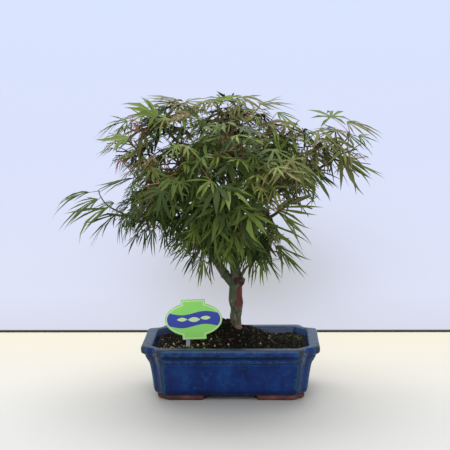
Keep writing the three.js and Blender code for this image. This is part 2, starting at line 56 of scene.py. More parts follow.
# %% From tray millimetres to the shared frame
MM = 0.001
tray_low, tray_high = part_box("tray")
TRAY_MIDDLE = np.array([(tray_low.x + tray_high.x) / 2, (tray_low.y + tray_high.y) / 2, 0.0])


def in_frame(points):
    """Each point times 0.001, plus the middle of the tray."""
    return np.asarray(points, float) * MM + TRAY_MIDDLE


print("The tray's middle lies at", TRAY_MIDDLE.round(5))

# %% [markdown]
# ## The camera
# The camera's place was worked out from the tray's corners: about 1.4 m away, 8 degrees above level and 2
# degrees to the right, with a long lens. A camera could also be aimed with a Track To constraint, but a
# plain matrix has nothing that can change later. Its three columns are the camera's right, its up and its
# back.

# %% Set up the camera
AIM = np.array([-6.232, 0.0, 190.922])
DISTANCE = 1372.364
AZIMUTH, ELEVATION, ROLL = np.radians([1.913, 7.858, -0.472])
LENS_PIXELS, PICTURE_PIXELS, SENSOR_WIDTH = 1209.604, 450, 36.0


def camera_matrix():
    """Back is the unit vector from the aim to the camera. Right is across it and level, up is across both,
    and the roll turns right and up about back."""
    back = np.array([
        np.sin(AZIMUTH) * np.cos(ELEVATION),
        -np.cos(AZIMUTH) * np.cos(ELEVATION),
        np.sin(ELEVATION),
    ])
    right = np.cross([0, 0, 1], back)
    right /= np.linalg.norm(right)
    up = np.cross(back, right)
    matrix = np.eye(4)
    matrix[:3, 0] = np.cos(ROLL) * right + np.sin(ROLL) * up
    matrix[:3, 1] = -np.sin(ROLL) * right + np.cos(ROLL) * up
    matrix[:3, 2] = back
    matrix[:3, 3] = in_frame(AIM + DISTANCE * back)
    return Matrix(matrix.tolist())


camera_data = bpy.data.cameras.new("camera")
camera_data.sensor_width = SENSOR_WIDTH
camera_data.lens = LENS_PIXELS / PICTURE_PIXELS * SENSOR_WIDTH
camera = bpy.data.objects.new("camera", camera_data)
bpy.context.scene.collection.objects.link(camera)
camera.matrix_world = camera_matrix()
bpy.context.scene.camera = camera
print("Lens:", round(camera_data.lens, 2), "mm")

# %% [markdown]
# ## Meshes from arrays
# Most pieces here are stacks of rings: a tray, a trunk and a twig are all one ring after another. The
# points of all rings are one array, and the faces follow from how the points are counted, so no loop over
# points is needed. Rings run counter-clockwise seen from where the stack ends, which makes every face point
# outwards.

# %% Faces of a stack of rings
def ring_faces(rows, columns):
    """Four-sided faces between ring k and ring k + 1, and from point i to point i + 1, which wraps round."""
    start = np.arange(rows - 1)[:, None] * columns
    here = np.arange(columns)
    after = np.roll(here, -1)
    quads = [start + here, start + after, start + columns + after, start + columns + here]
    return np.stack(quads, axis=-1).reshape(-1, 4)


def closed_stack(rings):
    """The points and faces of rings with the shape (rows, columns, 3). A fan closes each end."""
    rows, columns = rings.shape[:2]
    points = np.concatenate([rings.reshape(-1, 3), rings[[0, -1]].mean(axis=1)])
    first, last = rows * columns, (rows - 1) * columns
    here = np.arange(columns)
    after = np.roll(here, -1)
    low_fan = np.stack([np.full(columns, first), after, here], axis=-1)
    high_fan = np.stack([np.full(columns, first + 1), last + here, last + after], axis=-1)
    return points, [ring_faces(rows, columns), np.concatenate([low_fan, high_fan])]


def repeated(count, step, faces):
    """The same faces once for each copy of a shape that has step points."""
    return (np.arange(count)[:, None, None] * step + faces).reshape(-1, faces.shape[1])


# %% One object from points and faces
def make_piece(name, points, face_groups, material, slot, nodes=(), smooth=True, **values):
    """A mesh object in its place. face_groups holds arrays of faces, each array with its own number of
    corners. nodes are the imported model's nodes that it stands for, and values are numbers for each
    point."""
    corners = np.concatenate([faces.ravel() for faces in face_groups])
    sizes = np.concatenate([np.full(len(faces), faces.shape[1]) for faces in face_groups])
    mesh = bpy.data.meshes.new(name)
    mesh.vertices.add(len(points))
    mesh.vertices.foreach_set("co", in_frame(points).astype(np.float32).ravel())
    mesh.loops.add(len(corners))
    mesh.loops.foreach_set("vertex_index", corners.astype(np.int32))
    mesh.polygons.add(len(sizes))
    mesh.polygons.foreach_set("loop_start", (np.cumsum(sizes) - sizes).astype(np.int32))
    mesh.polygons.foreach_set("use_smooth", np.full(len(sizes), smooth))
    mesh.update(calc_edges=True)
    mesh.validate()
    for key, numbers in values.items():
        carrier = mesh.attributes.new(key, "FLOAT", "POINT")
        carrier.data.foreach_set("value", numbers.astype(np.float32).ravel())
    mesh.materials.append(material)
    piece = bpy.data.objects.new(name, mesh)
    bpy.context.scene.collection.objects.link(piece)
    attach(piece, "root")
    if nodes:
        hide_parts(*nodes)
    triangles = int((sizes - 2).sum())
    print(f"{name}: {len(points)} points, {triangles} triangles")


# %% [markdown]
# ## Smooth noise
# Bark, soil and hand-made clay are never even. A lattice noise gives each whole-number place in space a
# random value and blends between them. Stretched along the trunk it makes furrows, and piled up at several
# scales it makes crumbs of soil. Blender's Displace modifier could do the same from a texture, but here the
# relief is part of the mesh from the start, and the same function also tells where a grain has to lie on
# the soil.

# %% Lattice noise
def lattice_noise(points, seed=0):
    """For each point the values at the eight corners of its cell, blended with t * t * (3 - 2 * t) along each
    axis. A value comes from a hash of the corner's whole numbers, and lies between -1 and 1."""
    cell = np.floor(points).astype(np.int64)
    share = points - cell
    share = share * share * (3 - 2 * share)
    total = np.zeros(points.shape[:-1])
    for corner in np.ndindex(2, 2, 2):
        place = cell + corner
        # Large odd numbers, one for each axis and one for the seed, scatter the whole numbers
        mixed = place[..., 0] * 73856093 ^ place[..., 1] * 19349663
        mixed = mixed ^ place[..., 2] * 83492791 ^ seed * 961748941
        mixed = (mixed ^ (mixed >> 13)) * 1274126177
        value = ((mixed ^ (mixed >> 16)) & 65535) / 32767.5 - 1
        weight = np.where(corner, share, 1 - share).prod(axis=-1)
        total += value * weight
    return total


check_noise = lattice_noise(np.random.default_rng(1).uniform(-50, 50, (2000, 3)))
print("Noise lies between", check_noise.min().round(2), "and", check_noise.max().round(2))

# %% [markdown]
# ## Finishes from nodes
# Every finish is a Principled shader with a few nodes before it. The helpers below add the nodes that come
# back in each finish: a colour given as it is shown on a screen, noise on Object coordinates, a ramp
# between colours, a mix and a bump.

# %% Helpers for finishes
def shown(red, green, blue):
    """A colour given as screen values from 0 to 255, as the light that Blender counts in: below 0.04045 the
    value over 12.92, and above it ((value + 0.055) / 1.055) to the power 2.4."""
    screen = np.array([red, green, blue]) / 255
    light = np.where(screen <= 0.04045, screen / 12.92, ((screen + 0.055) / 1.055) ** 2.4)
    return (*light.tolist(), 1.0)


class Finish:
    """A material under way: its nodes, its links and its Principled shader."""

    def __init__(self, name, colour, roughness, **constants):
        self.material = bpy.data.materials.new(name)
        self.material.use_nodes = True
        self.tree = self.material.node_tree
        self.shader = self.tree.nodes["Principled BSDF"]
        self.shader.inputs["Base Color"].default_value = colour
        self.shader.inputs["Roughness"].default_value = roughness
        for socket, value in constants.items():
            self.shader.inputs[socket.replace("_", " ")].default_value = value
        self.place = self.tree.nodes.new("ShaderNodeTexCoord").outputs["Object"]

    def link(self, source, target):
        """A link where source is a socket, and otherwise a plain value set on the target."""
        if isinstance(source, bpy.types.NodeSocket):
            self.tree.links.new(source, target)
        else:
            target.default_value = source

    def stretched(self, scale):
        """Object coordinates times a scale for each axis."""
        node = self.tree.nodes.new("ShaderNodeMapping")
        node.inputs["Scale"].default_value = scale
        self.link(self.place, node.inputs["Vector"])
        return node.outputs["Vector"]

    def noise(self, scale, detail=2.0, roughness=0.5, place=None):
        """Fractal noise, with scale counted in patches per metre."""
        node = self.tree.nodes.new("ShaderNodeTexNoise")
        node.inputs["Scale"].default_value = scale
        node.inputs["Detail"].default_value = detail
        node.inputs["Roughness"].default_value = roughness
        self.link(place or self.place, node.inputs["Vector"])
        return node.outputs["Fac"]

    def value(self, name):
        """A number that the mesh carries at each point."""
        node = self.tree.nodes.new("ShaderNodeAttribute")
        node.attribute_name = name
        return node.outputs["Fac"]

    def math(self, operation, first, second=0.0):
        """One step of arithmetic on one or two numbers."""
        node = self.tree.nodes.new("ShaderNodeMath")
        node.operation = operation
        self.link(first, node.inputs[0])
        self.link(second, node.inputs[1])
        return node.outputs["Value"]

    def parts(self, vector):
        """The three numbers of a vector."""
        node = self.tree.nodes.new("ShaderNodeSeparateXYZ")
        self.link(vector, node.inputs["Vector"])
        return node.outputs

    def between(self, number, low, high, to_low=0.0, to_high=1.0):
        """A number that runs from to_low to to_high while the first runs from low to high."""
        node = self.tree.nodes.new("ShaderNodeMapRange")
        sockets = ("Value", "From Min", "From Max", "To Min", "To Max")
        for socket, value in zip(sockets, (number, low, high, to_low, to_high)):
            self.link(value, node.inputs[socket])
        return node.outputs["Result"]

    def ramp(self, number, stops):
        """Colours at places from 0 to 1, blended between them."""
        node = self.tree.nodes.new("ShaderNodeValToRGB")
        elements = node.color_ramp.elements
        while len(elements) < len(stops):
            elements.new(0.5)
        for element, (position, colour) in zip(elements, stops):
            element.position = position
            element.color = colour
        self.link(number, node.inputs["Fac"])
        return node.outputs["Color"]

    def mix(self, share, first, second):
        """The first colour where share is 0 and the second where it is 1."""
        node = self.tree.nodes.new("ShaderNodeMix")
        node.data_type = "RGBA"
        self.link(share, node.inputs["Factor"])
        self.link(first, node.inputs[6])
        self.link(second, node.inputs[7])
        return node.outputs[2]

    def bump(self, height, distance, strength):
        """Relief from a number, with distance in metres, put on the shader."""
        node = self.tree.nodes.new("ShaderNodeBump")
        node.inputs["Strength"].default_value = strength
        node.inputs["Distance"].default_value = distance
        self.link(height, node.inputs["Height"])
        self.link(node.outputs["Normal"], self.shader.inputs["Normal"])

    def done(self, colour=None, roughness=None):
        """The material, with its colour and roughness linked where they vary."""
        if colour is not None:
            self.link(colour, self.shader.inputs["Base Color"])
        if roughness is not None:
            self.link(roughness, self.shader.inputs["Roughness"])
        return self.material


def two_tones(name, dark, light, roughness, patches, low, **constants):
    """A finish whose colour goes from dark to light where noise goes from low to 1 - low."""
    finish = Finish(name, dark, roughness, **constants)
    share = finish.between(finish.noise(patches), low, 1 - low)
    finish.done(finish.mix(share, dark, light))
    return finish


# %% [markdown]
# ## The tray's outline
# The tray is pressed or cast in a mould, and its corners are bitten in. Seen from above, each bite starts a
# notch's length from the corner and comes in to a point that lies inside both sides. The notch is larger on
# the rim than on the wall below it. The outline could be a curve with a Bevel object, but all four walls
# change as they go down, so each level gets its own ring. Chaikin's corner cutting then rounds every corner
# a little.

# %% Outline of the tray at any level
TRAY_WIDTH, TRAY_DEPTH, TRAY_HEIGHT, RIM_WIDTH = 200, 134, 61, 12
RIM_NOTCH, RIM_BITE, WALL_NOTCH, WALL_BITE = 20, 0.72, 11, 0.6
CAVITY_NOTCH, CAVITY_BITE = 13, 0.56
POINT_SPACING = 3.0


def soften(rings, times=2):
    """Chaikin's corner cutting: each side gives way to the points a quarter and three quarters along it."""
    for _ in range(times):
        after = np.roll(rings, -1, axis=1)
        pairs = np.stack([0.75 * rings + 0.25 * after, 0.25 * rings + 0.75 * after], axis=2)
        rings = pairs.reshape(rings.shape[0], -1, 3)
    return rings


def shorten_sides(rings, parts):
    """More points on long sides: side i of every ring is split into parts[i] equal pieces."""
    after = np.roll(rings, -1, axis=1)
    side = np.repeat(np.arange(len(parts)), parts)
    share = (np.arange(parts.sum()) - np.repeat(np.cumsum(parts) - parts, parts)) / parts[side]
    return rings[:, side] + (after[:, side] - rings[:, side]) * share[:, None]


def bitten_rings(inset, notch, bite, height):
    """For each level, a rectangle drawn in by inset with bitten corners. A corner runs from n + s before it
    to n + s after it, where n is the notch and s is 0.12 n, by way of a point n * bite inside both
    sides."""
    inset, notch, bite, height = (np.asarray(v, float)[:, None] for v in (inset, notch, bite, height))
    soft, deep = 0.12 * notch, notch * bite
    along = np.concatenate([
        0 * soft, 0 * soft, -soft, soft - deep,
        -deep - 0.4 * soft, 0.6 * soft - notch, -notch - soft, -notch - 4 * soft,
    ], axis=1)
    x = TRAY_WIDTH / 2 - inset + along
    y = TRAY_DEPTH / 2 - inset + along[:, ::-1]
    ring_x = np.concatenate([x, -x[:, ::-1], -x, x[:, ::-1]], axis=1)
    ring_y = np.concatenate([y, y[:, ::-1], -y, -y[:, ::-1]], axis=1)
    return soften(np.stack([ring_x, ring_y, height + 0 * ring_x], axis=-1))


rim_outline = bitten_rings([0], [RIM_NOTCH], [RIM_BITE], [TRAY_HEIGHT])[0]
side_lengths = np.linalg.norm(np.roll(rim_outline, -1, axis=0) - rim_outline, axis=-1)
SIDE_PARTS = np.maximum(1, np.ceil(side_lengths / POINT_SPACING)).astype(int)


def tray_rings(inset, notch, bite, height):
    """The same rings with a point at least every 3 mm along the sides."""
    return shorten_sides(bitten_rings(inset, notch, bite, height), SIDE_PARTS)


print("Points round the tray:", SIDE_PARTS.sum())

# %% [markdown]
# ## The tray
# From under the rim the outside falls as an upright lip, a hollow moulding, a fine groove and a wall that
# leans in to the foot. The inside falls steeply to the floor. Going up the outside, over the rim and down the
# inside makes one closed shell. Glaze thins where an edge is sharp and pools where it is hollow, so the mesh
# also carries a number that says how thin the glaze lies. The same number also paints shade in the groove
# under the lip and a teal sheen on the lip and the moulding.

# %% Shape of the tray
# Height, inset along the straight walls, inset at the corners, and glaze thinness up the outside. The
# thinness is 1 on a sharp edge and below 0 where the glaze is darker: in the groove under the lip that is
# pooled glaze and painted shade, and near the foot and at a fine line higher up the colour is simply darker.
# The small values above 0 on the lip and the moulding paint a teal sheen, partly the glaze's own teal and
# partly a painted reflection of the pale floor and wall.
OUTSIDE = np.array([
    [6.3, 19.0, 19.0, 0.0], [6.6, 16.6, 16.6, 0.0], [7.4, 15.4, 15.4, -0.4], [9.0, 14.6, 14.6, -0.8],
    [11.0, 14.0, 14.0, -0.5], [14.0, 13.5, 13.5, 0.0], [20.0, 12.9, 12.9, 0.0], [27.0, 12.1, 12.1, 0.0],
    [33.0, 11.2, 11.2, 0.0], [38.0, 10.3, 10.3, 0.0], [41.0, 9.5, 9.5, 0.0], [42.6, 8.8, 8.9, 0.1],
    [43.1, 9.1, 8.6, -0.6], [43.7, 8.9, 8.3, -0.4], [44.5, 7.7, 7.8, 0.25], [46.5, 6.5, 6.6, 0.3],
    [48.5, 5.3, 5.1, 0.15], [50.0, 4.5, 3.9, -0.5], [51.0, 4.1, 3.0, -1.0], [51.9, 3.4, 2.1, -1.0],
    [52.7, 2.0, 1.3, -0.5], [53.4, 0.8, 0.7, 0.0], [54.2, 0.25, 0.3, 0.15], [56.0, 0.0, 0.0, 0.08],
    [58.0, 0.0, 0.0, 0.12], [59.1, 0.05, 0.05, 0.4], [59.7, 0.5, 0.4, 0.1], [60.3, 0.7, 0.7, 0.3],
    [60.8, 1.0, 1.0, 0.75], [61.0, 1.8, 1.8, 0.75],
])
# Height, inset from the rim's inner edge, and glaze thinness down the inside
INSIDE = np.array([
    [61.0, -1.4, 0.65], [60.6, -0.4, 0.9], [59.6, 0.1, 0.4], [57.0, 0.8, 0.0], [54.0, 1.7, 0.0],
    [46.0, 5.5, 0.0], [32.0, 8.5, 0.0], [15.0, 9.5, 0.0], [14.0, 12.0, 0.0],
])
# Height, way in from the outer edge, and glaze thinness across the rim's top
RIM_TOP = np.array([[61.15, 4.0, 0.7], [61.2, 6.5, 0.65], [61.15, 8.8, 0.7]])
# What the rim's outer eased edge takes of its width, and what both do
RIM_START, RIM_EASES = 1.5, 2.9
# How far past a notch the mouldings start, and how long they take to come up
MOULDING_GAP, MOULDING_BLEND = 1.5, 6.0


def rim_share(height):
    """How much of the rim's larger notch a level has: none low on the wall and all of it at the rim."""
    return np.interp(height, [26, 38, 45, 50.5, 54.2], [0, 0.1, 0.35, 0.75, 1])


def outer_rings(height, inset):
    """Rings of the outside, with a notch and a bite between the wall's and the rim's."""
    share = rim_share(height)
    notch = WALL_NOTCH + (RIM_NOTCH - WALL_NOTCH) * share
    return tray_rings(inset, notch, WALL_BITE + (RIM_BITE - WALL_BITE) * share, height)


def moulded_rings():
    """The mouldings run along the straight walls only. A ring's points blend from the corner's inset to the
    wall's over 6 mm, starting where the corner's notch ends."""
    height, wall, corner, _ = OUTSIDE.T
    plain, moulded = outer_rings(height, corner), outer_rings(height, wall)
    from_sides = [TRAY_WIDTH / 2 - abs(plain[..., 0]), TRAY_DEPTH / 2 - abs(plain[..., 1])]
    past_notch = np.stack(from_sides).max(axis=0) - corner[:, None] - WALL_NOTCH - MOULDING_GAP
    share = np.clip(past_notch / MOULDING_BLEND, 0, 1)[..., None]
    return plain + (moulded - plain) * share * share * (3 - 2 * share)


def inner_rings(height, inset, gap=0.0):
    """Rings of the cavity, drawn in by the rim's width and a gap."""
    notches, bites = np.full(len(height), CAVITY_NOTCH), np.full(len(height), CAVITY_BITE)
    return tray_rings(RIM_WIDTH + inset + gap, notches, bites, height)


def rim_rings():
    """Rings across the rim's top, blended from the outer edge to the inner one."""
    outer = outer_rings(OUTSIDE[-1:, 0], OUTSIDE[-1:, 1])
    inner = inner_rings(INSIDE[:1, 0], INSIDE[:1, 1])
    share = ((RIM_TOP[:, 1] - RIM_START) / (RIM_WIDTH - RIM_EASES))[:, None, None]
    rings = outer + (inner - outer) * share
    rings[..., 2] = RIM_TOP[:, 0, None]
    return rings


outside = moulded_rings()
inside = inner_rings(INSIDE[:, 0], INSIDE[:, 1])
tray_stack = np.concatenate([outside, rim_rings(), inside])
print("Rings of the tray:", tray_stack.shape)

# %% [markdown]
# Where two faces of the wall meet at a bitten corner, the edge stands up like a rib, and there the glaze
# runs thin from rim to foot. How sharply a ring turns at each point finds these ribs. Then the whole shell is
# moved by less than half a millimetre of slow noise, as no hand-finished tray is quite straight.

# %% Thin glaze and slight unevenness
# How strongly a ring's turn thins the glaze, and how far and over what length the shell moves
RIBS_THIN, UNEVEN_BY, UNEVEN_OVER = 6, 0.35, 34


def unit(vectors):
    """Each vector divided by its length."""
    return vectors / np.maximum(np.linalg.norm(vectors, axis=-1, keepdims=True), 1e-9)


def turn_of(rings):
    """How much each ring turns at each point: the cross product of the unit sides before and after it."""
    before = unit(rings - np.roll(rings, 1, axis=1))
    after = unit(np.roll(rings, -1, axis=1) - rings)
    return before[..., 0] * after[..., 1] - before[..., 1] * after[..., 0]


def spread_round(values, times):
    """Each value averaged with its neighbours on the ring, times over."""
    for _ in range(times):
        values = (np.roll(values, 1, axis=1) + 2 * values + np.roll(values, -1, axis=1)) / 4
    return values


tray_turn = spread_round(turn_of(tray_stack), 2)
tray_turn[len(outside):] = 0
# Besides the glaze's thinness, these numbers paint shade in the groove under the lip and a teal sheen, a
# painted reflection, on the lip and moulding
level_thin_and_painted_light = np.concatenate([OUTSIDE[:, 3], RIM_TOP[:, 2], INSIDE[:, 2]])[:, None]
tray_thin_and_painted_light = level_thin_and_painted_light + np.clip(tray_turn * RIBS_THIN, -0.4, 0.9)
slow_moves = [lattice_noise(tray_stack / UNEVEN_OVER, seed) for seed in (3, 4)]
tray_stack[..., :2] += UNEVEN_BY * np.stack(slow_moves, axis=-1)
tray_thin_and_painted_light = np.concatenate([tray_thin_and_painted_light.ravel(), [0.0, 0.0]])
print("Glaze thinness from", tray_thin_and_painted_light.min().round(2), "to", tray_thin_and_painted_light.max().round(2))

# %% [markdown]
# ## The glaze
# Cobalt glaze is a coloured glass over brown clay. Thick, it is nearly navy. Thinner, it lets the clay's
# grey through, which gives the lavender rim and the pale ribs. Small pits and a slow ripple keep its
# highlights from looking like plastic. A clear coat could stand for the glass, but one glossy layer with a
# ripple is enough.

# %% Glaze
def make_glaze():
    """Three blues by slow noise, darkened where the number is below 0, turned to a greener blue and then to
    grey where the glaze thins. The darkening under the lip is partly painted shade, and the greener blue
    partly a painted sheen.
    """
    glaze = Finish("cobalt_glaze", shown(14, 38, 92), 0.2, IOR=1.45, Specular_IOR_Level=0.3)
    cloud = glaze.noise(38.0, 4.0, 0.6)
    streak = glaze.noise(60.0, 3.0, 0.6, glaze.stretched((1.0, 1.0, 0.16)))
    both = glaze.math("ADD", glaze.math("MULTIPLY", cloud, 0.55), glaze.math("MULTIPLY", streak, 0.45))
    blue = glaze.ramp(both, [
        (0.36, shown(3, 25, 72)),
        (0.5, shown(5, 38, 98)),
        (0.64, shown(9, 55, 116)),
    ])
    mottle = glaze.between(glaze.noise(170.0, 3.0, 0.6), 0.3, 0.7, -0.22, 0.22)
    thin = glaze.math("ADD", glaze.value("thin"), mottle)
    grey = glaze.mix(glaze.between(cloud, 0.4, 0.6), shown(34, 39, 50), shown(45, 43, 46))
    # Darker where the number is below 0: pooled glaze and painted shade in the groove under the lip, and
    # simply darker near the foot
    pooled_and_shaded = glaze.mix(glaze.between(thin, -0.9, -0.1, 0.75, 0.0), blue, shown(6, 10, 26))
    # A teal where the number is a little above 0: partly the glaze's own teal, partly a painted sheen of the
    # pale floor and wall
    greener = glaze.mix(glaze.between(thin, 0.05, 0.4, 0.0, 0.6), pooled_and_shaded, shown(32, 88, 124))
    colour = glaze.mix(glaze.between(thin, 0.3, 1.0, 0.0, 0.85), greener, grey)
    ripple, pits = glaze.noise(95.0), glaze.noise(420.0)
    glaze.bump(glaze.math("ADD", ripple, glaze.math("MULTIPLY", pits, 0.25)), 0.0006, 0.35)
    return glaze.done(colour, glaze.between(thin, -0.2, 1.0, 0.12, 0.46))


# The number called thin also carries painted shade under the lip and a painted sheen on the lip and moulding
make_piece("tray_glazed", *closed_stack(tray_stack), make_glaze(), "glaze", ["tray"], thin=tray_thin_and_painted_light)

# %% [markdown]
# ## The four feet
# The foot is a low ring of bare clay under the wall, opened in the middle of each side. Each foot is a small
# section carried round its corner of the outline, and its ends lean, so that it is shorter on the ground.

# %% Feet
FOOT_HEIGHT, FOOT_INSET, FOOT_SLANT = 6.0, 17.5, 2.5
# The openings between the feet, along the long sides and along the short ones
FOOT_GAPS = np.array([58.0, 36.0])
# How far the section shrinks at an end, and how much of that each of the end's two rings has
END_SHRINK, END_STEPS = 0.12, (0.9, 0.25)
# Depth into the foot and height, round the foot's section with its edges eased
FOOT_SECTION = np.array([
    [0.0, 2.2], [0.3, 1.1], [0.9, 0.4], [1.7, 0.0], [6.5, 0.0], [12.0, 0.0], [12.7, 0.5],
    [13.0, 1.4], [13.0, 5.2], [12.4, 6.0], [6.5, 6.0], [0.5, 6.0], [0.0, 5.4],
])


def foot_rings(side_x, side_y):
    """The section's points carried round a corner: along the side up to the corner, round it, and back
    along the other side. Close to each end the section shrinks a little towards its middle, which eases the
    edge there."""
    depth, height = FOOT_SECTION.T
    rings = outer_rings(height, FOOT_INSET + depth + np.where(height < 2.2, 0.5, 0.0))
    corner = rings[:, (np.sign(rings[0, :, 0]) == side_x) & (np.sign(rings[0, :, 1]) == side_y)]
    lean = FOOT_SLANT * (1 - height / FOOT_HEIGHT)
    gap = (FOOT_GAPS[:, None] / 2 + lean)[:, :, None]
    keep = (abs(corner[0, :, 0]) > gap[0, :, 0].max()) & (abs(corner[0, :, 1]) > gap[1, :, 0].max())
    corner = corner[:, keep]
    ends = corner[:, [0, -1]].copy()
    on_long_side = abs(abs(ends[0, :, 1]) - abs(corner[0, :, 1]).max()) < 1e-6
    for end in (0, 1):
        axis = 0 if on_long_side[end] else 1
        ends[:, end, axis] = np.sign(ends[0, end, axis]) * gap[axis, :, 0]
    path = np.concatenate([ends[:, :1], ends[:, :1], corner, ends[:, 1:], ends[:, 1:]], axis=1)
    middle = path.mean(axis=0, keepdims=True)
    for places, neighbour in [((0, 1), 2), ((-1, -2), -3)]:
        for draw, place in zip(END_STEPS, places):
            way = unit(path[:, neighbour] - path[:, place])
            shrunk = path[:, place] + (middle[:, place] - path[:, place]) * END_SHRINK * draw
            path[:, place] = shrunk + way * (END_STEPS[0] - draw)
    return path.transpose(1, 0, 2)


def make_clay():
    """Two browns by noise with darker, dirtier patches, and a fine grain."""
    clay = Finish("bare_clay", shown(112, 60, 48), 0.85)
    patch = clay.noise(70.0, 4.0, 0.6)
    colour = clay.ramp(patch, [(0.3, shown(50, 28, 27)), (0.5, shown(88, 48, 42)), (0.7, shown(118, 72, 62))])
    clay.bump(clay.noise(900.0, 3.0, 0.6), 0.0005, 0.6)
    return clay.done(colour, clay.between(patch, 0.3, 0.7, 0.7, 0.92))


clay_finish = make_clay()
for foot_name, side_x, side_y in [
    ("foot_front_left", -1, -1), ("foot_front_right", 1, -1),
    ("foot_back_left", -1, 1), ("foot_back_right", 1, 1),
]:
    foot = closed_stack(foot_rings(side_x, side_y))
    make_piece(foot_name + "_clay", *foot, clay_finish, "clay", [foot_name])

# %% [markdown]
# ## The soil
# Potting soil lies level by the wall, rises to the trunk and is heaped on one side. Its surface is a
# function of place, because crumbs, grains and moss all have to lie on it. The mesh is the cavity's outline
# drawn in towards the trunk in many steps. A landscape modifier could make such ground, but it wouldn't
# meet the trunk and wall.

# %% Height of the soil
TRUNK_FOOT = np.array([5.6, 6.0, 70.0])
SOIL_LEVEL, SOIL_PAD, PAD_RADIUS, MOUND_SPREAD = 53.5, 69.7, 11.5, 28.0
# The large heap: height, bearing in radians, distance from the trunk's middle and spread
HEAP_HEIGHT, HEAP_BEARING, HEAP_RADIUS, HEAP_SPREAD = 9.5, 2.6, 19, 9
# The small heap: place, height and spread
FRONT_HEAP = (-3.0, -2.5, 9.0, 7.0)


def soil_top(x, y):
    """The level, plus a mound that falls off as exp(-(r / spread)^2) from the trunk's pad, plus a heap on one
    bearing and a small one against the trunk's front, plus noise at three scales. The middle one is made
    positive, which gives it rounded crumbs."""
    radius = np.hypot(x - TRUNK_FOOT[0], y - TRUNK_FOOT[1])
    bearing = np.arctan2(y - TRUNK_FOOT[1], x - TRUNK_FOOT[0])
    out = np.maximum(0, radius - PAD_RADIUS) / MOUND_SPREAD
    mound = (SOIL_PAD - SOIL_LEVEL) * np.exp(-out * out)
    heap = HEAP_HEIGHT * np.maximum(0, np.cos(bearing - HEAP_BEARING)) ** 2
    heap = heap * np.exp(-(((radius - HEAP_RADIUS) / HEAP_SPREAD) ** 2))
    from_front_heap = (x - FRONT_HEAP[0]) ** 2 + (y - FRONT_HEAP[1]) ** 2
    heap = heap + FRONT_HEAP[2] * np.exp(-(from_front_heap / FRONT_HEAP[3] ** 2))
    flat = np.stack([x, y, 0 * x], axis=-1)
    rough = 1.0 * lattice_noise(flat / 11, 7) + 0.8 * abs(lattice_noise(flat / 4.3, 8))
    rough = rough + 0.5 * lattice_noise(flat / 2.1, 9)
    return SOIL_LEVEL + mound + heap + rough * np.clip((radius - 5) / 8, 0.2, 1) - 0.4


# %% The soil's mesh
SOIL_STEPS = 66
# Height and inset of the sides, a hair inside the cavity, from the floor up
SOIL_SIDES = np.array([[14.6, 11.6], [15.5, 9.4], [32.0, 8.5], [46.0, 5.5], [52.5, 2.3]])
soil_walls = inner_rings(SOIL_SIDES[:, 0], SOIL_SIDES[:, 1], 0.3)
soil_edge = inner_rings(np.array([54.0]), np.array([1.7]), 0.2)[0]
inward = np.linspace(0, 1, SOIL_STEPS)[:-1, None, None]
soil_cover = soil_edge + (TRUNK_FOOT - soil_edge) * inward
soil_cover[..., 2] = soil_top(soil_cover[..., 0], soil_cover[..., 1])
soil_points, soil_faces = closed_stack(np.concatenate([soil_walls, soil_cover]))
soil_points[-1] = (*TRUNK_FOOT[:2], SOIL_PAD)


def make_soil():
    """Near-black browns by noise at two scales, damp and rough."""
    soil = Finish("damp_soil", shown(38, 28, 20), 0.95, Specular_IOR_Level=0.15)
    clod = soil.noise(150.0, 5.0, 0.65)
    crumb = soil.noise(700.0, 3.0, 0.6)
    both = soil.math("ADD", soil.math("MULTIPLY", clod, 0.6), soil.math("MULTIPLY", crumb, 0.4))
    colour = soil.ramp(both, [
        (0.3, shown(4, 4, 3)),
        (0.5, shown(11, 9, 7)),
        (0.62, shown(22, 19, 12)),
        (0.74, shown(48, 42, 26)),
    ])
    soil.bump(crumb, 0.0014, 0.9)
    return soil.done(colour, soil.between(clod, 0.3, 0.7, 0.75, 1.0))


make_piece("soil_bed", soil_points, soil_faces, make_soil(), "soil", ["soil"])

# %% [markdown]
# ## Grains in the soil
# The mix holds crumbs of bark, clay granules and pale pumice, most of them lying loose at the front left.
# Each is an icosahedron, pushed out of shape and sunk a little into the soil. Particles or instances would
# be lighter, but they don't survive an export, so all grains of one kind are one joined mesh.

# %% Places on the soil and a rough grain
GOLDEN = (1 + 5**0.5) / 2
ICOSAHEDRON = np.array([
    [-1, GOLDEN, 0], [1, GOLDEN, 0], [-1, -GOLDEN, 0], [1, -GOLDEN, 0], [0, -1, GOLDEN], [0, 1, GOLDEN],
    [0, -1, -GOLDEN], [0, 1, -GOLDEN], [GOLDEN, 0, -1], [GOLDEN, 0, 1], [-GOLDEN, 0, -1], [-GOLDEN, 0, 1],
]) / np.hypot(1, GOLDEN)
ICOSAHEDRON_FACES = np.array([
    [0, 11, 5], [0, 5, 1], [0, 1, 7], [0, 7, 10], [0, 10, 11], [1, 5, 9], [5, 11, 4], [11, 10, 2],
    [10, 7, 6], [7, 1, 8], [3, 9, 4], [3, 4, 2], [3, 2, 6], [3, 6, 8], [3, 8, 9], [4, 9, 5],
    [2, 4, 11], [6, 2, 10], [8, 6, 7], [9, 8, 1],
])
# Half the area that is sown, half the area that is kept, what x + y may be in a corner, and the trunk's room
SOWN_HALF, KEPT_HALF, KEPT_CORNER, CLEAR_OF_TRUNK = (81, 48), (82, 50), 122, 11
# How far things that lie round a place spread, right and back
LEANING_SPREAD = (20, 12)
# How uneven a grain is, and its middle's height above the soil as a share of its half-size
GRAIN_UNEVEN, GRAIN_LIFT = 0.16, 0.3


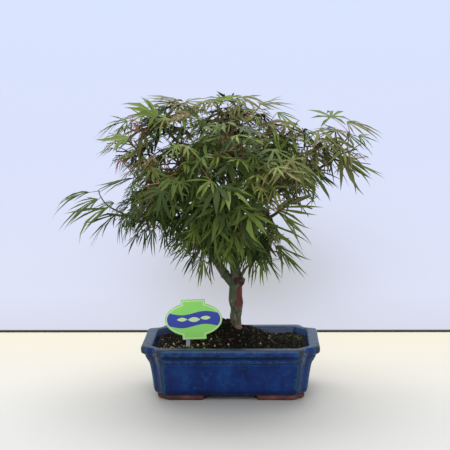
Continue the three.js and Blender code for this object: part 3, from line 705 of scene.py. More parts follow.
def places_on_soil(random, count, leaning):
    """Points spread over the soil inside the wall and clear of the trunk. leaning draws them towards a place:
    it is x, y and the share that lies round it."""
    tries = count * 3
    x = random.uniform(-SOWN_HALF[0], SOWN_HALF[0], tries)
    y = random.uniform(-SOWN_HALF[1], SOWN_HALF[1], tries)
    near = random.random(tries) < leaning[2]
    x = np.where(near, leaning[0] + LEANING_SPREAD[0] * random.normal(size=tries), x)
    y = np.where(near, leaning[1] + LEANING_SPREAD[1] * random.normal(size=tries), y)
    keep = (abs(x) < KEPT_HALF[0]) & (abs(y) < KEPT_HALF[1]) & (abs(x) + abs(y) < KEPT_CORNER)
    keep = keep & (np.hypot(x - TRUNK_FOOT[0], y - TRUNK_FOOT[1]) > CLEAR_OF_TRUNK)
    return x[keep][:count], y[keep][:count]


def scatter_grains(name, seed, count, sizes, leaning, material):
    """Grains with a random turn, three half-sizes and rough points, a third of their height in the soil."""
    random = np.random.default_rng(seed)
    x, y = places_on_soil(random, count, leaning)
    count = len(x)
    size = random.uniform(*sizes, (count, 1)) * random.uniform(0.65, 1.25, (count, 3))
    rough = ICOSAHEDRON[None] * (1 + GRAIN_UNEVEN * random.normal(size=(count, 12, 1)))
    turn = np.linalg.qr(random.normal(size=(count, 3, 3)))[0]
    turn[:, :, 0] *= np.sign(np.linalg.det(turn))[:, None]
    shapes = np.einsum("nij,nkj->nki", turn, rough * size[:, None])
    ground = np.stack([x, y, soil_top(x, y) + GRAIN_LIFT * size.mean(axis=1)], axis=-1)
    points = (shapes + ground[:, None]).reshape(-1, 3)
    faces = repeated(count, 12, ICOSAHEDRON_FACES)
    make_piece(name, points, [faces], material, "soil", smooth=False)


# %% Crumbs, granules and pumice



# Piece and finish, seed, number, half-sizes, the place they lie round with their share, and the two tones
GRAINS = [
    ("crumbs_bark", "bark_crumb", 11, 1500, (0.7, 1.9), (0, 0, 0.0), (8, 7, 5), (27, 23, 15)),
    ("crumbs_brown", "brown_crumb", 12, 520, (0.6, 1.6), (-58.0, -34.0, 0.3), (40, 32, 20), (88, 78, 48)),
    ("grains_pumice", "pumice", 13, 190, (0.6, 1.5), (-62, -34, 0.75), (118, 106, 74), (180, 172, 136)),
]
for grain_name, tone_name, seed, wanted, sizes, leaning, dark, light in GRAINS:
    grain = two_tones(tone_name, shown(*dark), shown(*light), 0.9, 260.0, 0.35, Specular_IOR_Level=0.2)
    grain.bump(grain.noise(1500.0), 0.0003, 0.5)
    scatter_grains(grain_name, seed, wanted, sizes, leaning, grain.material)

# %% [markdown]
# ## Moss
# Green bits of moss and seedlings grow at the right and along the back, where the soil stays damp. Each is a
# tuft of pointed blades, and a blade is a three-sided spike, the plainest shape that still reads as moss.

# %% Moss
# Blades in a tuft and their spread, a blade's half-width and lean as shares of its height, and its depth
TUFT_BLADES, TUFT_SPREAD, BLADE_WIDTH, BLADE_LEAN, BLADE_DEPTH = 6, 0.8, 0.22, 0.5, 0.4


def scatter_moss(name, seed, count, height, leaning, material):
    """Spikes in tufts of six: a three-point base a little below the soil, and a tip that leans at random."""
    random = np.random.default_rng(seed)
    x, y = places_on_soil(random, count, leaning)
    x = np.repeat(x, TUFT_BLADES) + random.normal(size=TUFT_BLADES * len(x)) * TUFT_SPREAD
    y = np.repeat(y, TUFT_BLADES) + random.normal(size=TUFT_BLADES * len(y)) * TUFT_SPREAD
    blades = len(x)
    tall = random.uniform(*height, blades)
    wide = (BLADE_WIDTH * tall)[:, None]
    turn = random.uniform(0, 2 * np.pi, blades)[:, None] + np.arange(3) * 2 * np.pi / 3
    foot = [np.cos(turn) * wide, np.sin(turn) * wide, np.full(turn.shape, -BLADE_DEPTH)]
    foot = np.stack(foot, axis=-1)
    lean = random.normal(size=(blades, 2)) * BLADE_LEAN * tall[:, None]
    tip = np.concatenate([lean, tall[:, None]], axis=1)[:, None]
    ground = np.stack([x, y, soil_top(x, y)], axis=-1)[:, None]
    points = (np.concatenate([foot, tip], axis=1) + ground).reshape(-1, 3)
    faces = repeated(blades, 4, np.array([[0, 1, 3], [1, 2, 3], [2, 0, 3], [2, 1, 0]]))
    make_piece(name, points, [faces], material, "soil", smooth=False)





# As for the grains, with the number of tufts and the blades' heights
MOSSES = [
    ("moss_right", "moss", 21, 150, (1.0, 2.8), (58, 26, 0.75), (40, 58, 22), (84, 108, 44)),
    ("moss_left", "moss_dry", 22, 60, (0.8, 2.0), (-66, 22, 0.6), (70, 72, 34), (120, 116, 64)),
]
for moss_name, tone_name, seed, wanted, heights, leaning, dark, light in MOSSES:
    moss = two_tones(tone_name, shown(*dark), shown(*light), 0.8, 180.0, 0.4)
    scatter_moss(moss_name, seed, wanted, heights, leaning, moss.material)

# %% [markdown]
# ## Paths and tubes
# Trunk, boughs, twigs and stalks are all tubes along a path. A Curve object with a bevel makes such a tube
# in one step, but it can't have bark on it. Here the rings are computed: a path gives the middle of each
# ring and its direction, two directions across it are found, and the radius may change with both height and
# turn.

# %% Paths
def smooth_path(through, count):
    """A Catmull-Rom curve through points: between points 1 and 2 it is
    0.5 * (2 p1 + (p2 - p0) t + (2 p0 - 5 p1 + 4 p2 - p3) t^2 + (3 p1 - p0 - 3 p2 + p3) t^3),
    taken at count places that are evenly spread along its length."""
    p = np.asarray(through, float)
    p = np.concatenate([[2 * p[0] - p[1]], p, [2 * p[-1] - p[-2]]])
    t = np.linspace(0, 1, 24, endpoint=False)[:, None]
    p0, p1, p2, p3 = (p[i : len(p) - 3 + i, None] for i in range(4))
    square, cube = 2 * p0 - 5 * p1 + 4 * p2 - p3, 3 * p1 - p0 - 3 * p2 + p3
    curve = 0.5 * (2 * p1 + (p2 - p0) * t + square * t**2 + cube * t**3)
    return evenly(np.concatenate([curve.reshape(-1, 3), p[-2:-1]]), count)


def evenly(path, count):
    """The same path at count places with the same length between them."""
    length = np.concatenate([[0], np.cumsum(np.linalg.norm(np.diff(path, axis=0), axis=1))])
    at = np.linspace(0, length[-1], count)
    return np.stack([np.interp(at, length, path[:, axis]) for axis in range(3)], axis=-1)


def bent_path(start, bend, end, count):
    """Quadratic Bezier curves, one or many: (1 - t)^2 start + 2 t (1 - t) bend + t^2 end."""
    t = np.linspace(0, 1, count)[:, None]
    start, bend, end = (np.asarray(p, float)[..., None, :] for p in (start, bend, end))
    return (1 - t) ** 2 * start + 2 * t * (1 - t) * bend + t**2 * end


# %% Tubes
def tube_rings(paths, radii, sides):
    """Rings across paths of shape (..., rows, 3). Across is square to the path and to the world axis that the
    path follows least, and each ring is middle + radius * (cos(turn) across + sin(turn) beside)."""
    ahead = unit(np.gradient(paths, axis=-2))
    chord = abs(paths[..., -1, :] - paths[..., 0, :])
    steady = np.eye(3)[chord.argmin(axis=-1)][..., None, :]
    across = unit(np.cross(steady, ahead))
    beside = np.cross(ahead, across)
    turn = np.arange(sides) / sides * 2 * np.pi
    radii = np.asarray(radii, float)
    radii = radii[..., None] if radii.ndim == paths.ndim - 1 else radii
    out = np.cos(turn)[:, None] * across[..., None, :] + np.sin(turn)[:, None] * beside[..., None, :]
    return paths[..., None, :] + radii[..., None] * out


def joined_tubes(paths, radii, sides):
    """Points and faces of many closed tubes that all have the same number of rings."""
    rings = tube_rings(paths, radii, sides)
    count, rows = rings.shape[:2]
    ends = rings[:, [0, -1]].mean(axis=2)
    points = np.concatenate([rings.reshape(count, -1, 3), ends], axis=1)
    step = points.shape[1]
    return points.reshape(-1, 3), [repeated(count, step, faces) for faces in closed_stack(rings[0])[1]]


def tapered_tubes(paths, thick, thin, sides):
    """Tubes whose radius falls evenly from thick to thin along the path."""
    rows = paths.shape[1]
    return joined_tubes(paths, np.linspace(thick, thin, rows) + np.zeros((len(paths), rows)), sides)


def join(parts):
    """Several sets of points and faces as one."""
    offsets = np.cumsum([0] + [len(points) for points, _ in parts])
    points = np.concatenate([points for points, _ in parts])
    faces = [group + offset for (_, groups), offset in zip(parts, offsets) for group in groups]
    return points, faces


# %% [markdown]
# ## The trunk and leader
# The trunk stands on a few surface roots, narrows above them, swells, and forks. Its main limb goes on as
# the leader, so both are one surface. The radius at each place is the sum of what shapes a real trunk: its
# girth, the roots' ridges at the foot, a knob where a branch was cut away at the fork, a long scar on the
# right, slow bulges and the furrows of the bark.

# %% Sizes of the trunk and leader
# Height above the soil's pad, shift to the right, and radius
TRUNK_STATIONS = np.array([
    [-6, 0.8, 7.5], [0, 0.5, 6.4], [3, 0.0, 6.3], [7, -0.6, 6.2], [11.5, -1.0, 6.2], [16, -0.8, 6.6],
    [20.5, 0.0, 6.3], [25.5, 0.2, 7.0], [30, -0.4, 8.2], [39.5, -0.7, 7.9], [49, -0.2, 7.3], [54, 0.1, 7.4],
])
LEADER = [(5.6, 6, 131), (4.7, 6, 140), (3, 6, 150), (0, 7, 176), (-3, 8, 206), (-1, 8, 240), (3, 7, 274)]
LEADER_RADII = [6.3, 5.6, 5.0, 4.3, 3.7, 3.0, 2.2]
# The knob's lumps: middle and radius
KNOB_LUMPS = np.array([
    (11.8, 4.5, 126.0, 4.6), (9.6, 1.6, 127.0, 4.6), (6.2, 0.6, 126.0, 3.4),
    (11.8, 3.5, 122.6, 3.0), (9.0, 3.4, 129.6, 4.2),
])
KNOB_MIDDLE = KNOB_LUMPS[0, :3]
# The scar's middle, and how far it reaches across, in depth and in height
SCAR_MIDDLE, SCAR_REACH = np.array([11.8, -0.5, 108.5]), np.array([5.8, 6.5, 14])
# The four roots' bearings and half-width in radians, their height, and over how many millimetres it fades
ROOT_BEARINGS = np.arange(4) / 4 * 2 * np.pi + 0.9
ROOT_WIDTH, ROOT_HEIGHT, ROOT_FADE = 0.42, 1.6, 3.0


def trunk_path():
    """The trunk's stations and the leader's points as one path, with a smoothed radius at each of its
    places."""
    up, shift, radius = TRUNK_STATIONS.T
    stations = np.stack([TRUNK_FOOT[0] + shift, np.full(len(up), TRUNK_FOOT[1]), TRUNK_FOOT[2] + up], axis=-1)
    path = smooth_path(np.concatenate([stations, LEADER]), 470)
    heights = np.concatenate([stations[:, 2], np.array(LEADER)[:, 2]])
    girth = np.interp(path[:, 2], heights, [*radius, *LEADER_RADII])
    window = np.hanning(17)[1:-1] / np.hanning(17).sum()
    return path, np.convolve(np.pad(girth, 7, mode="edge"), window, mode="valid")


# %% Relief of the bark
def furrows(rings, radii, seed):
    """Furrows are the folds of noise that is drawn out upwards, and they are deeper on a thicker limb."""
    stretched = rings / np.array([2.6, 2.6, 11.0])
    folds = 1 - 2 * abs(lattice_noise(stretched, seed))
    fine = lattice_noise(rings / np.array([1.2, 1.2, 3.2]), seed + 1)
    bulges = lattice_noise(rings / 9.0, seed + 2)
    return radii * (0.035 * folds + 0.03 * fine + 0.05 * bulges)


def knob_reach(path, turn):
    """How far a line from the trunk's middle goes before it leaves the last of the knob's lumps, or 0 where
    it misses them all."""
    out = np.stack([np.cos(turn), np.sin(turn), 0 * turn], axis=-1)
    to_lump = KNOB_LUMPS[:, None, None, :3] - path[:, None]
    along = (to_lump * out).sum(axis=-1)
    inside_ball = along**2 - (to_lump**2).sum(axis=-1) + KNOB_LUMPS[:, 3, None, None] ** 2
    return np.where(inside_ball > 0, along + np.sqrt(np.maximum(inside_ball, 0)), 0).max(axis=0)


def near_knob(points):
    """1 on the knob's lumps and 0 away from them."""
    far = np.linalg.norm(points[..., None, :] - KNOB_LUMPS[:, :3], axis=-1) / (KNOB_LUMPS[:, 3] + 1.2)
    return np.exp(-(far.min(axis=-1) ** 6))


def scar_shape(rings):
    """1 in the middle of the scar on the right of the trunk, and 0 away from it."""
    side, depth, height = np.moveaxis((rings - SCAR_MIDDLE) / SCAR_REACH, -1, 0)
    return np.exp(-(side**2 + depth**2 + height**4))


TRUNK_SIDES = 96
wood_path, wood_girth = trunk_path()
wood_turn = np.arange(TRUNK_SIDES) / TRUNK_SIDES * 2 * np.pi
up = (wood_path[:, 2] - TRUNK_FOOT[2])[:, None]
from_root = (wood_turn[:, None] - ROOT_BEARINGS + np.pi) % (2 * np.pi) - np.pi
root_ridge = np.exp(-((from_root / ROOT_WIDTH) ** 2)).sum(axis=1)
wood_radius = wood_girth[:, None] * (1 + 0.04 * np.sin(3 * wood_turn + up * 0.05))
wood_radius = wood_radius + ROOT_HEIGHT * np.exp(-np.maximum(up, -2) / ROOT_FADE) * (root_ridge - 0.35)
wood_radius = np.maximum(wood_radius, knob_reach(wood_path, wood_turn))


def upright_rings(path, radius, turn):
    """Level rings round a path that climbs."""
    out = np.stack([np.cos(turn), np.sin(turn), 0 * turn], axis=-1)
    return path[:, None] + radius[..., None] * out


wood_rings = upright_rings(wood_path, wood_radius, wood_turn)
scar = scar_shape(wood_rings)
wood_radius = wood_radius + furrows(wood_rings, wood_girth[:, None], 31) - 0.9 * scar
wood_radius = wood_radius + near_knob(wood_rings) * (1.1 * lattice_noise(wood_rings / 2.4, 41) - 0.2)
wood_rings = upright_rings(wood_path, wood_radius, wood_turn)
print("Trunk width at 30 mm up:", round(2 * float(wood_radius[abs(up[:, 0] - 30).argmin()].mean()), 1), "mm")

# %% [markdown]
# ## Bark
# A young maple's bark is grey-green with moss on it, paler and pinker at the foot where it was once buried,
# raw red-brown on the scar, and maroon to grey-brown on the knob. The mesh carries four numbers that say
# where each belongs, and noise breaks up their edges. Object coordinates keep the moss patches where they
# are on the trunk.

# %% Bark
def make_bark(name, old, young):
    """Greys and greens by noise, then the foot, the scar and the young wood by the numbers on the mesh."""
    bark = Finish(name, old, 0.8)
    patch = bark.noise(120.0, 4.0, 0.6)
    fibre = bark.noise(420.0, 4.0, 0.6, bark.stretched((1.0, 1.0, 0.22)))
    green = bark.ramp(patch, [(0.32, shown(46, 50, 38)), (0.5, old), (0.68, shown(120, 116, 96))])
    moss = bark.between(bark.noise(75.0, 4.0, 0.65), 0.47, 0.58, 0.0, 0.9)
    mossy = bark.mix(moss, green, shown(58, 82, 40))
    lined = bark.mix(bark.between(fibre, 0.52, 0.68, 0.0, 0.75), mossy, shown(34, 30, 25))
    edge = bark.between(bark.noise(330.0, 4.0, 0.65), 0.3, 0.7, -0.35, 0.35)

    def where(name, low, high):
        """0 to 1 as one of the mesh's numbers, with a frayed edge, runs from low to high."""
        return bark.between(bark.math("ADD", bark.value(name), edge), low, high)

    pale = bark.mix(where("buried", 0.3, 0.8), lined, shown(124, 98, 84))
    torn = bark.mix(bark.between(fibre, 0.38, 0.6), shown(58, 28, 26), shown(124, 54, 40))
    raw = bark.mix(where("scar", 0.2, 0.75), pale, torn)
    healed_tones = [(0.4, shown(50, 26, 22)), (0.52, shown(76, 42, 34)), (0.62, shown(112, 88, 74))]
    knobbed = bark.mix(where("knob", 0.25, 0.8), raw, bark.ramp(patch, healed_tones))
    colour = bark.mix(where("young", 0.2, 0.9), knobbed, young)
    bark.bump(bark.math("ADD", fibre, bark.math("MULTIPLY", patch, 0.5)), 0.0012, 0.6)
    return bark.done(colour, bark.between(fibre, 0.3, 0.7, 0.65, 0.95))


bark_finish = make_bark("maple_bark", shown(84, 82, 64), shown(82, 78, 50))
buried = np.exp(-np.maximum(up, 0) / 11.0) + 0 * wood_radius
knob = near_knob(wood_rings)
youth = np.clip((wood_rings[..., 2] - 215) / 70, 0, 1)
wood = closed_stack(wood_rings)
carried = {"buried": buried, "scar": scar, "knob": knob, "young": youth}
carried = {key: np.concatenate([numbers.ravel(), [0, 0]]) for key, numbers in carried.items()}
make_piece("trunk_and_leader", *wood, bark_finish, "bark", ["trunk", "leader"], **carried)

# %% [markdown]
# ## The masses of foliage
# A bonsai maple is pruned into clouds. Each cloud is an ellipsoid that one bough feeds. The table gives
# where its middle is, how far it reaches, and which limb its bough leaves, how high up and how thick. A
# bough leaves its parent, bends up a little and ends where it enters its cloud. A bough could be drawn by
# hand as a curve, but a rule keeps every bough inside what it feeds.

# %% Masses and limbs
# Middle, reach, the limb that the bough leaves, the height where it leaves, and its radius there
MASSES = {
    "top_centre": ((2, 6, 315), (56, 58, 36), "leader", None, None),
    "left_upper": ((-110, 12, 282), (50, 58, 44), "left_bough", None, None),
    "far_left": ((-148, -14, 207), (56, 50, 32), "left_bough", 192, 2.3),
    "left_low": ((-90, -14, 202), (50, 58, 44), "left_bough", 172, 2.2),
    "lower_left": ((-40, -12, 178), (50, 58, 46), "left_bough", 152, 2.0),
    "front_left": ((-76, -68, 242), (54, 54, 46), "left_bough", 205, 2.0),
    "top_left": ((-78, -8, 310), (58, 56, 38), "leader", 214, 2.4),
    "top_right": ((62, 8, 288), (54, 58, 40), "leader", 226, 2.3),
    "right_upper": ((122, -6, 271), (54, 56, 50), "leader", 182, 2.8),
    "right_low": ((72, -18, 222), (50, 56, 40), "leader", 164, 2.4),
    "lower_right": ((42, -12, 172), (48, 58, 46), "trunk", 129, 1.7),
    "front_right": ((52, -74, 240), (52, 54, 46), "leader", 196, 2.1),
    "front_centre": ((-4, -82, 202), (58, 54, 52), "leader", 172, 2.5),
    "front_top": ((-12, -70, 278), (60, 56, 42), "leader", 208, 2.2),
    "inner_left": ((-62, 4, 266), (50, 50, 40), "leader", 190, 2.0),
    "inner_right": ((58, 2, 252), (48, 50, 38), "leader", 186, 2.0),
    "back_left": ((-60, 80, 232), (62, 56, 56), "leader", 184, 2.5),
    "back_right": ((52, 82, 226), (62, 56, 56), "leader", 168, 2.5),
    "back_top": ((2, 68, 288), (62, 54, 44), "leader", 230, 2.2),
}
LEFT_BOUGH = [
    (5.5, 6, 111), (3.0, 6, 119), (-1.3, 6, 126), (-6.0, 6, 132.5), (-10.6, 6, 139.5), (-14.8, 6, 146.5),
    (-18.8, 6, 153), (-24, 6, 168), (-32, 6, 188), (-52, 9, 216), (-76, 12, 238),
]
LEFT_BOUGH_RADII = [4.6, 4.9, 4.6, 4.2, 3.6, 2.9, 1.9]
CENTRES = np.array([mass[0] for mass in MASSES.values()], float)
REACHES = np.array([mass[1] for mass in MASSES.values()], float)

limb_paths = {"leader": smooth_path(LEADER, 200), "left_bough": smooth_path(LEFT_BOUGH, 200)}
limb_radii = {"leader": LEADER_RADII, "left_bough": LEFT_BOUGH_RADII}


def grow_bough(name):
    """Its tip lies towards the parent from the mass's middle, 0.66 of the way to the ellipsoid's surface. Its
    bend is halfway, and 0.1 of its length higher."""
    middle, reach, parent, height, radius = MASSES[name]
    middle, reach = np.array(middle, float), np.array(reach, float)
    if parent == "trunk":
        start = np.array([KNOB_MIDDLE[0] - 1, KNOB_MIDDLE[1] + 1, height])
    else:
        path = limb_paths[parent]
        start = path[abs(path[:, 2] - height).argmin()]
    toward = start - middle
    tip = middle + toward * min(0.66 / np.linalg.norm(toward / reach), 0.8)
    bend = (start + tip) / 2 + np.array([0, 0, 0.1 * np.linalg.norm(tip - start)])
    limb_paths[f"{name}_bough"] = bent_path(start, bend, tip, 60)
    limb_radii[f"{name}_bough"] = [radius, 0.85 * radius, 0.62 * radius]


for mass_name, mass in MASSES.items():
    if mass[3]:
        grow_bough(mass_name)
print(len(limb_paths), "limbs")

# %% [markdown]
# ## Boughs
# Every bough is thicker where it leaves its parent, where a real one has a collar, and it has small
# swellings where leaves once stood in pairs. It also wanders a little, because a living branch is never one
# clean curve.

# %% Boughs
# How far apart the swellings stand, their half-length and their height as a share of the radius
SWELLING_SPACING, SWELLING_LENGTH, SWELLING_HEIGHT = 17, 1.3, 0.16
WANDER_BY, WANDER_OVER = 1.1, 16


def bough_rings(name, sides, rows, seed):
    """The limb's path with a slow wander across it, and its radius with a collar, swellings and bark."""
    path = evenly(limb_paths[name], rows)
    share = np.linspace(0, 1, rows)
    girth = np.interp(share, np.linspace(0, 1, len(limb_radii[name])), limb_radii[name])
    wander = np.stack([lattice_noise(path / WANDER_OVER, seed + axis) for axis in range(3)], axis=-1)
    fixed_start, fixed_end = np.minimum(share * 6, 1)[:, None], np.minimum((1 - share) * 6, 1)[:, None]
    path = path + wander * fixed_start * fixed_end * WANDER_BY
    length = np.linalg.norm(path[-1] - path[0]) * share
    collar = 0.0 if name == "left_bough" else 0.6 * np.exp(-length / (2.2 * girth[0]))
    from_swelling = (length % SWELLING_SPACING) - SWELLING_SPACING / 2
    swelling = SWELLING_HEIGHT * np.exp(-((from_swelling / SWELLING_LENGTH) ** 2))
    radii = girth * (1 + collar + swelling)
    rings = tube_rings(path, radii, sides)
    grown = radii[:, None] + furrows(rings, radii[:, None], seed)
    return tube_rings(path, grown, sides), np.broadcast_to(1.15 - girth[:, None] / 4.2, (rows, sides))


bough_nodes = [name for name in limb_paths if name != "leader"]
bough_parts, bough_youth = [], []
for number, limb in enumerate(bough_nodes):
    thick = limb == "left_bough"
    rings, youth = bough_rings(limb, 36 if thick else 16, 220 if thick else 90, 60 + 5 * number)
    bough_parts.append(closed_stack(rings))
    bough_youth.append(np.concatenate([youth.ravel(), [youth[0, 0], youth[-1, 0]]]))
bough_youth = np.clip(np.concatenate(bough_youth), 0, 1)
make_piece("boughs", *join(bough_parts), bark_finish, "bark", bough_nodes, young=bough_youth)

# %% [markdown]
# ## How a mass grows
# A stem starts at the bough's tip and runs most of the way to the mass's middle. Forks leave it and reach
# part of the way to the mass's edge, and from the forks grow fine shoots. A maple's leaves stand in
# opposite pairs, so each shoot bears a pair at its tip and one or two pairs before it. Every leaf has a
# stalk of its own and turns away from the trunk, and the lower it hangs, the steeper it falls.

# %% Stem, forks and shoots
random = np.random.default_rng(25)
FORKS, FORK_AT = 7, 0.5
SHOOT_SPACING, USUAL_SHOOTS = 11.0, 24
# Masses that let more light through
SHOOT_COUNTS = {
    "far_left": 0, "left_upper": 17, "top_left": 18, "top_centre": 17, "top_right": 17,
    "right_upper": 16, "left_low": 20, "right_low": 18, "lower_right": 18, "lower_left": 20,
}


def reach_share(points, mass):
    """How far out of a mass's ellipsoid a point lies, where 1 is its surface."""
    return np.linalg.norm((points - CENTRES[mass]) / REACHES[mass], axis=-1)


def home_of(points):
    """The mass whose ellipsoid each point lies deepest in."""
    return np.stack([reach_share(points, mass) for mass in range(len(MASSES))]).argmin(axis=0)


def fork_tips(mass):
    """Directions that step evenly from straight up to straight down and turn by 2.4 radians each time,
    scaled by the mass's reach. Those that end in another mass are left out."""
    order = np.arange(FORKS)
    rise = 1 - (2 * order + 1) / FORKS
    turn = order * 2.4 + random.random(FORKS) * 0.8
    flat = np.sqrt(1 - rise**2)
    way = np.stack([np.cos(turn) * flat, np.sin(turn) * flat, rise], axis=-1)
    tips = CENTRES[mass] + way * REACHES[mass] * FORK_AT
    return tips[home_of(tips) == mass]


def shoot_tips(mass, wanted):
    """Places spread through the mass, out to 0.7 of its reach, with the shoots' spacing between them."""
    tries = unit(random.normal(size=(500, 3))) * 0.7 * np.cbrt(random.random((500, 1)))
    tries = CENTRES[mass] + tries * REACHES[mass]
    tries = tries[home_of(tries) == mass]
    chosen = []
    for place in tries:
        if len(chosen) < wanted and all(np.linalg.norm(place - other) > SHOOT_SPACING for other in chosen):
            chosen.append(place)
    return np.array(chosen).reshape(-1, 3)


def grow_mass(number, name):
    """The stem, its forks and its shoots as pairs of start and end."""
    limb = limb_paths[f"{name}_bough" if MASSES[name][3] else MASSES[name][2]]
    along = unit(limb[-1] - limb[-2])
    neck = limb[-1] + along * 4
    heart = limb[-1] + (CENTRES[number] - limb[-1]) * 0.75
    wanted = SHOOT_COUNTS.get(name, USUAL_SHOOTS)
    tips = fork_tips(number) if wanted else np.empty((0, 3))
    starts = np.concatenate([[neck], np.repeat([heart], len(tips), axis=0)])
    ends = np.concatenate([[heart], tips])
    shoots = shoot_tips(number, wanted)
    share = random.uniform(0.3, 0.98, (len(shoots), 1, 1))
    roots = starts + (ends - starts) * share
    nearest = np.linalg.norm(roots - shoots[:, None], axis=-1).argmin(axis=1)
    roots = roots[np.arange(len(shoots)), nearest]
    stem = (limb[-1] - along * 3, neck, heart)
    return {"stem": stem, "forks": (starts[1:], ends[1:]), "shoots": (roots, shoots)}


grown = [grow_mass(number, name) for number, name in enumerate(MASSES)]
shoot_total, fork_total = (sum(len(part[kind][0]) for part in grown) for kind in ("shoots", "forks"))
print(shoot_total, "shoots on", fork_total, "forks")

# %% [markdown]
# ## Leaves on the shoots
# Each shoot is a gentle arc. Pairs of stalks leave it at even steps, each pair turned a quarter round from
# the one before. A leaf is kept where its lobes stay within its mass's reach and its middle keeps clear of
# every leaf before it. One that would reach too far is tried again a size smaller. A bonsai is pruned to an
# outline, so a leaf also has to keep within the crown's outline seen from the front, but for a tip or two.

# %% The crown's outline from the front
# Distance to the right and height, from left to right, along the top and along the underside
CROWN_TOP = np.array([
    (-200, 224), (-172, 233), (-158, 256), (-148, 284), (-130, 306), (-112, 322), (-98, 332),
    (-50, 337), (5, 338), (34, 329), (60, 323), (70, 306), (90, 300), (116, 299),
    (124, 308), (140, 308), (149, 296), (157, 264), (180, 250),
])
CROWN_UNDERSIDE = np.array([
    (-200, 196), (-140, 194), (-118, 173), (-90, 171), (-62, 160), (-35, 142), (15, 120), (35, 129),
    (58, 140), (64, 186), (72, 210), (98, 228), (112, 244), (140, 242), (156, 262), (180, 262),
])
# Openings where the wall shows through: right and up of the middle, and half the width and height
OPENINGS = np.array([
    (-125, 236, 10, 5), (-99, 292, 4, 4), (-79, 279, 4, 5), (-67, 257, 6, 4), (51, 225, 6, 5),
    (-2, 326, 7, 2), (62, 197, 9, 11),
], float)
# How far out of its mass's ellipsoid a leaf's tips may reach
USUAL_REACH, REACH_LIMITS = 1.12, {"left_upper": 0.95, "far_left": 0.9, "right_low": 1.0, "lower_left": 1.04}
EYE = AIM + DISTANCE * np.array(camera_matrix().col[2][:3])


def in_trunk_plane(points):
    """Where the line from the camera's place through each point meets the plane through the trunk."""
    return EYE + (points - EYE) * (EYE[1] / (EYE[1] - points[..., 1]))[..., None]


def outside_crown(points):
    """Millimetres that each point lies above the top or below the underside, from the camera's place."""
    seen = in_trunk_plane(points)
    above = seen[..., 2] - np.interp(seen[..., 0], *CROWN_TOP.T)
    below = np.interp(seen[..., 0], *CROWN_UNDERSIDE.T) - seen[..., 2]
    return np.maximum(above, below)


def in_an_opening(hub, tips):
    """Whether a lobe, followed from its hub to its tip, is seen in one of the openings."""
    lobes = hub + (tips - hub) * np.array([0.5, 0.75, 1.0])[:, None, None]
    seen = in_trunk_plane(lobes)[..., [0, 2]]
    away = (seen[..., None, :] - OPENINGS[:, :2]) / OPENINGS[:, 2:]
    return (np.linalg.norm(away, axis=-1) < 1).any()


# %% Places of the leaves
LEAF_LENGTHS, STALK_LENGTHS = (24.0, 50.0), (8, 20)
CLEARING, LEAF_ROLL = 8.0, 0.45
LOBE_ANGLES = np.radians([-118, -76, -37, 0, 37, 76, 118])
LOBE_SHARES = np.array([0.45, 0.76, 0.95, 1.0, 0.95, 0.76, 0.45])


def leaf_turned(hub, stalk):
    """The directions of a leaf's middle lobe and of its upper face. The middle lobe points away from the
    trunk, along its stalk and a little at random, and falls by 2 to 42 degrees as the leaf hangs lower,
    give or take 25."""
    out = unit(np.array([hub[0] - TRUNK_FOOT[0], hub[1] - TRUNK_FOOT[1], 0.0]))
    swing = 0.8 * np.append(unit(random.normal(size=2)), 0.0)
    heading = unit(out + swing + 0.8 * unit(stalk * [1, 1, 0]))
    lowness = np.clip((335 - hub[2]) / 110, 0, 1)
    fall = np.radians(2 + 40 * lowness + 50 * (random.random() - 0.5))
    forward = heading * np.cos(fall) - np.array([0, 0, np.sin(fall)])
    upward = np.array([0, 0, 1.0]) + LEAF_ROLL * unit(random.normal(size=3))
    normal = unit(upward - forward * (upward @ forward))
    return forward, normal


def usual_spread(forward, hub):
    """How far a leaf's lobes spread: fully when it lies level. When it hangs they gather, and most of all
    low in the crown, down to half."""
    lowness = np.clip((235 - hub[..., 2]) / 60, 0, 1)
    return 1 - (0.15 + 0.35 * lowness) * np.clip(-forward[..., 2], 0, 1)


def lobe_tips(hub, forward, normal, length):
    """Where the seven tips end, each drawn down by a quarter of its length."""
    side = np.cross(normal, forward)
    down = unit(normal + np.array([0, 0, 1.0]))
    angles = LOBE_ANGLES * usual_spread(forward, hub)
    flat = np.cos(angles)[:, None] * forward + np.sin(angles)[:, None] * side
    return hub + length * LOBE_SHARES[:, None] * (flat - 0.25 * down)


def leaves_of_shoot(mass, shoot, root, tip, hubs):
    """The leaves of one shoot: shoot, stalk's root, hub, forward, normal and length of each."""
    found = []
    length = np.linalg.norm(tip - root)
    along = unit(tip - root)
    level = unit(np.cross(along, [0, 0, 1.0]) + 1e-6)
    pairs = 1 + int(length > 12) + int(length > 24)
    limit = REACH_LIMITS.get(list(MASSES)[mass], USUAL_REACH)
    for pair in range(pairs):
        share = 1 - pair * 0.3
        node = root + (tip - root) * share
        quarter = np.cross(along, level) if pair % 2 else level
        for side in (-1, 1):
            way = side * quarter + (0.75 - 0.35 * pair) * along + np.array([0, 0, 0.3])
            way = unit(way + 0.2 * random.normal(size=3))
            hub = node + way * random.uniform(*STALK_LENGTHS)
            if len(hubs) and np.linalg.norm(np.array(hubs) - hub, axis=1).min() < CLEARING:
                continue
            forward, normal = leaf_turned(hub, way)
            for size in (1.0, 0.8, 0.62):
                leaf_length = random.uniform(*LEAF_LENGTHS) * size
                tips = lobe_tips(hub, forward, normal, leaf_length)
                pruned = np.sort(outside_crown(tips))[-3:]
                within = pruned[0] < 0 and pruned[2] < 4 and outside_crown(hub) < -2
                if within and (reach_share(tips, mass) <= limit).all() and not in_an_opening(hub, tips):
                    found.append((shoot, node, hub, forward, normal, leaf_length))
                    hubs.append(hub)
                    break
    return found


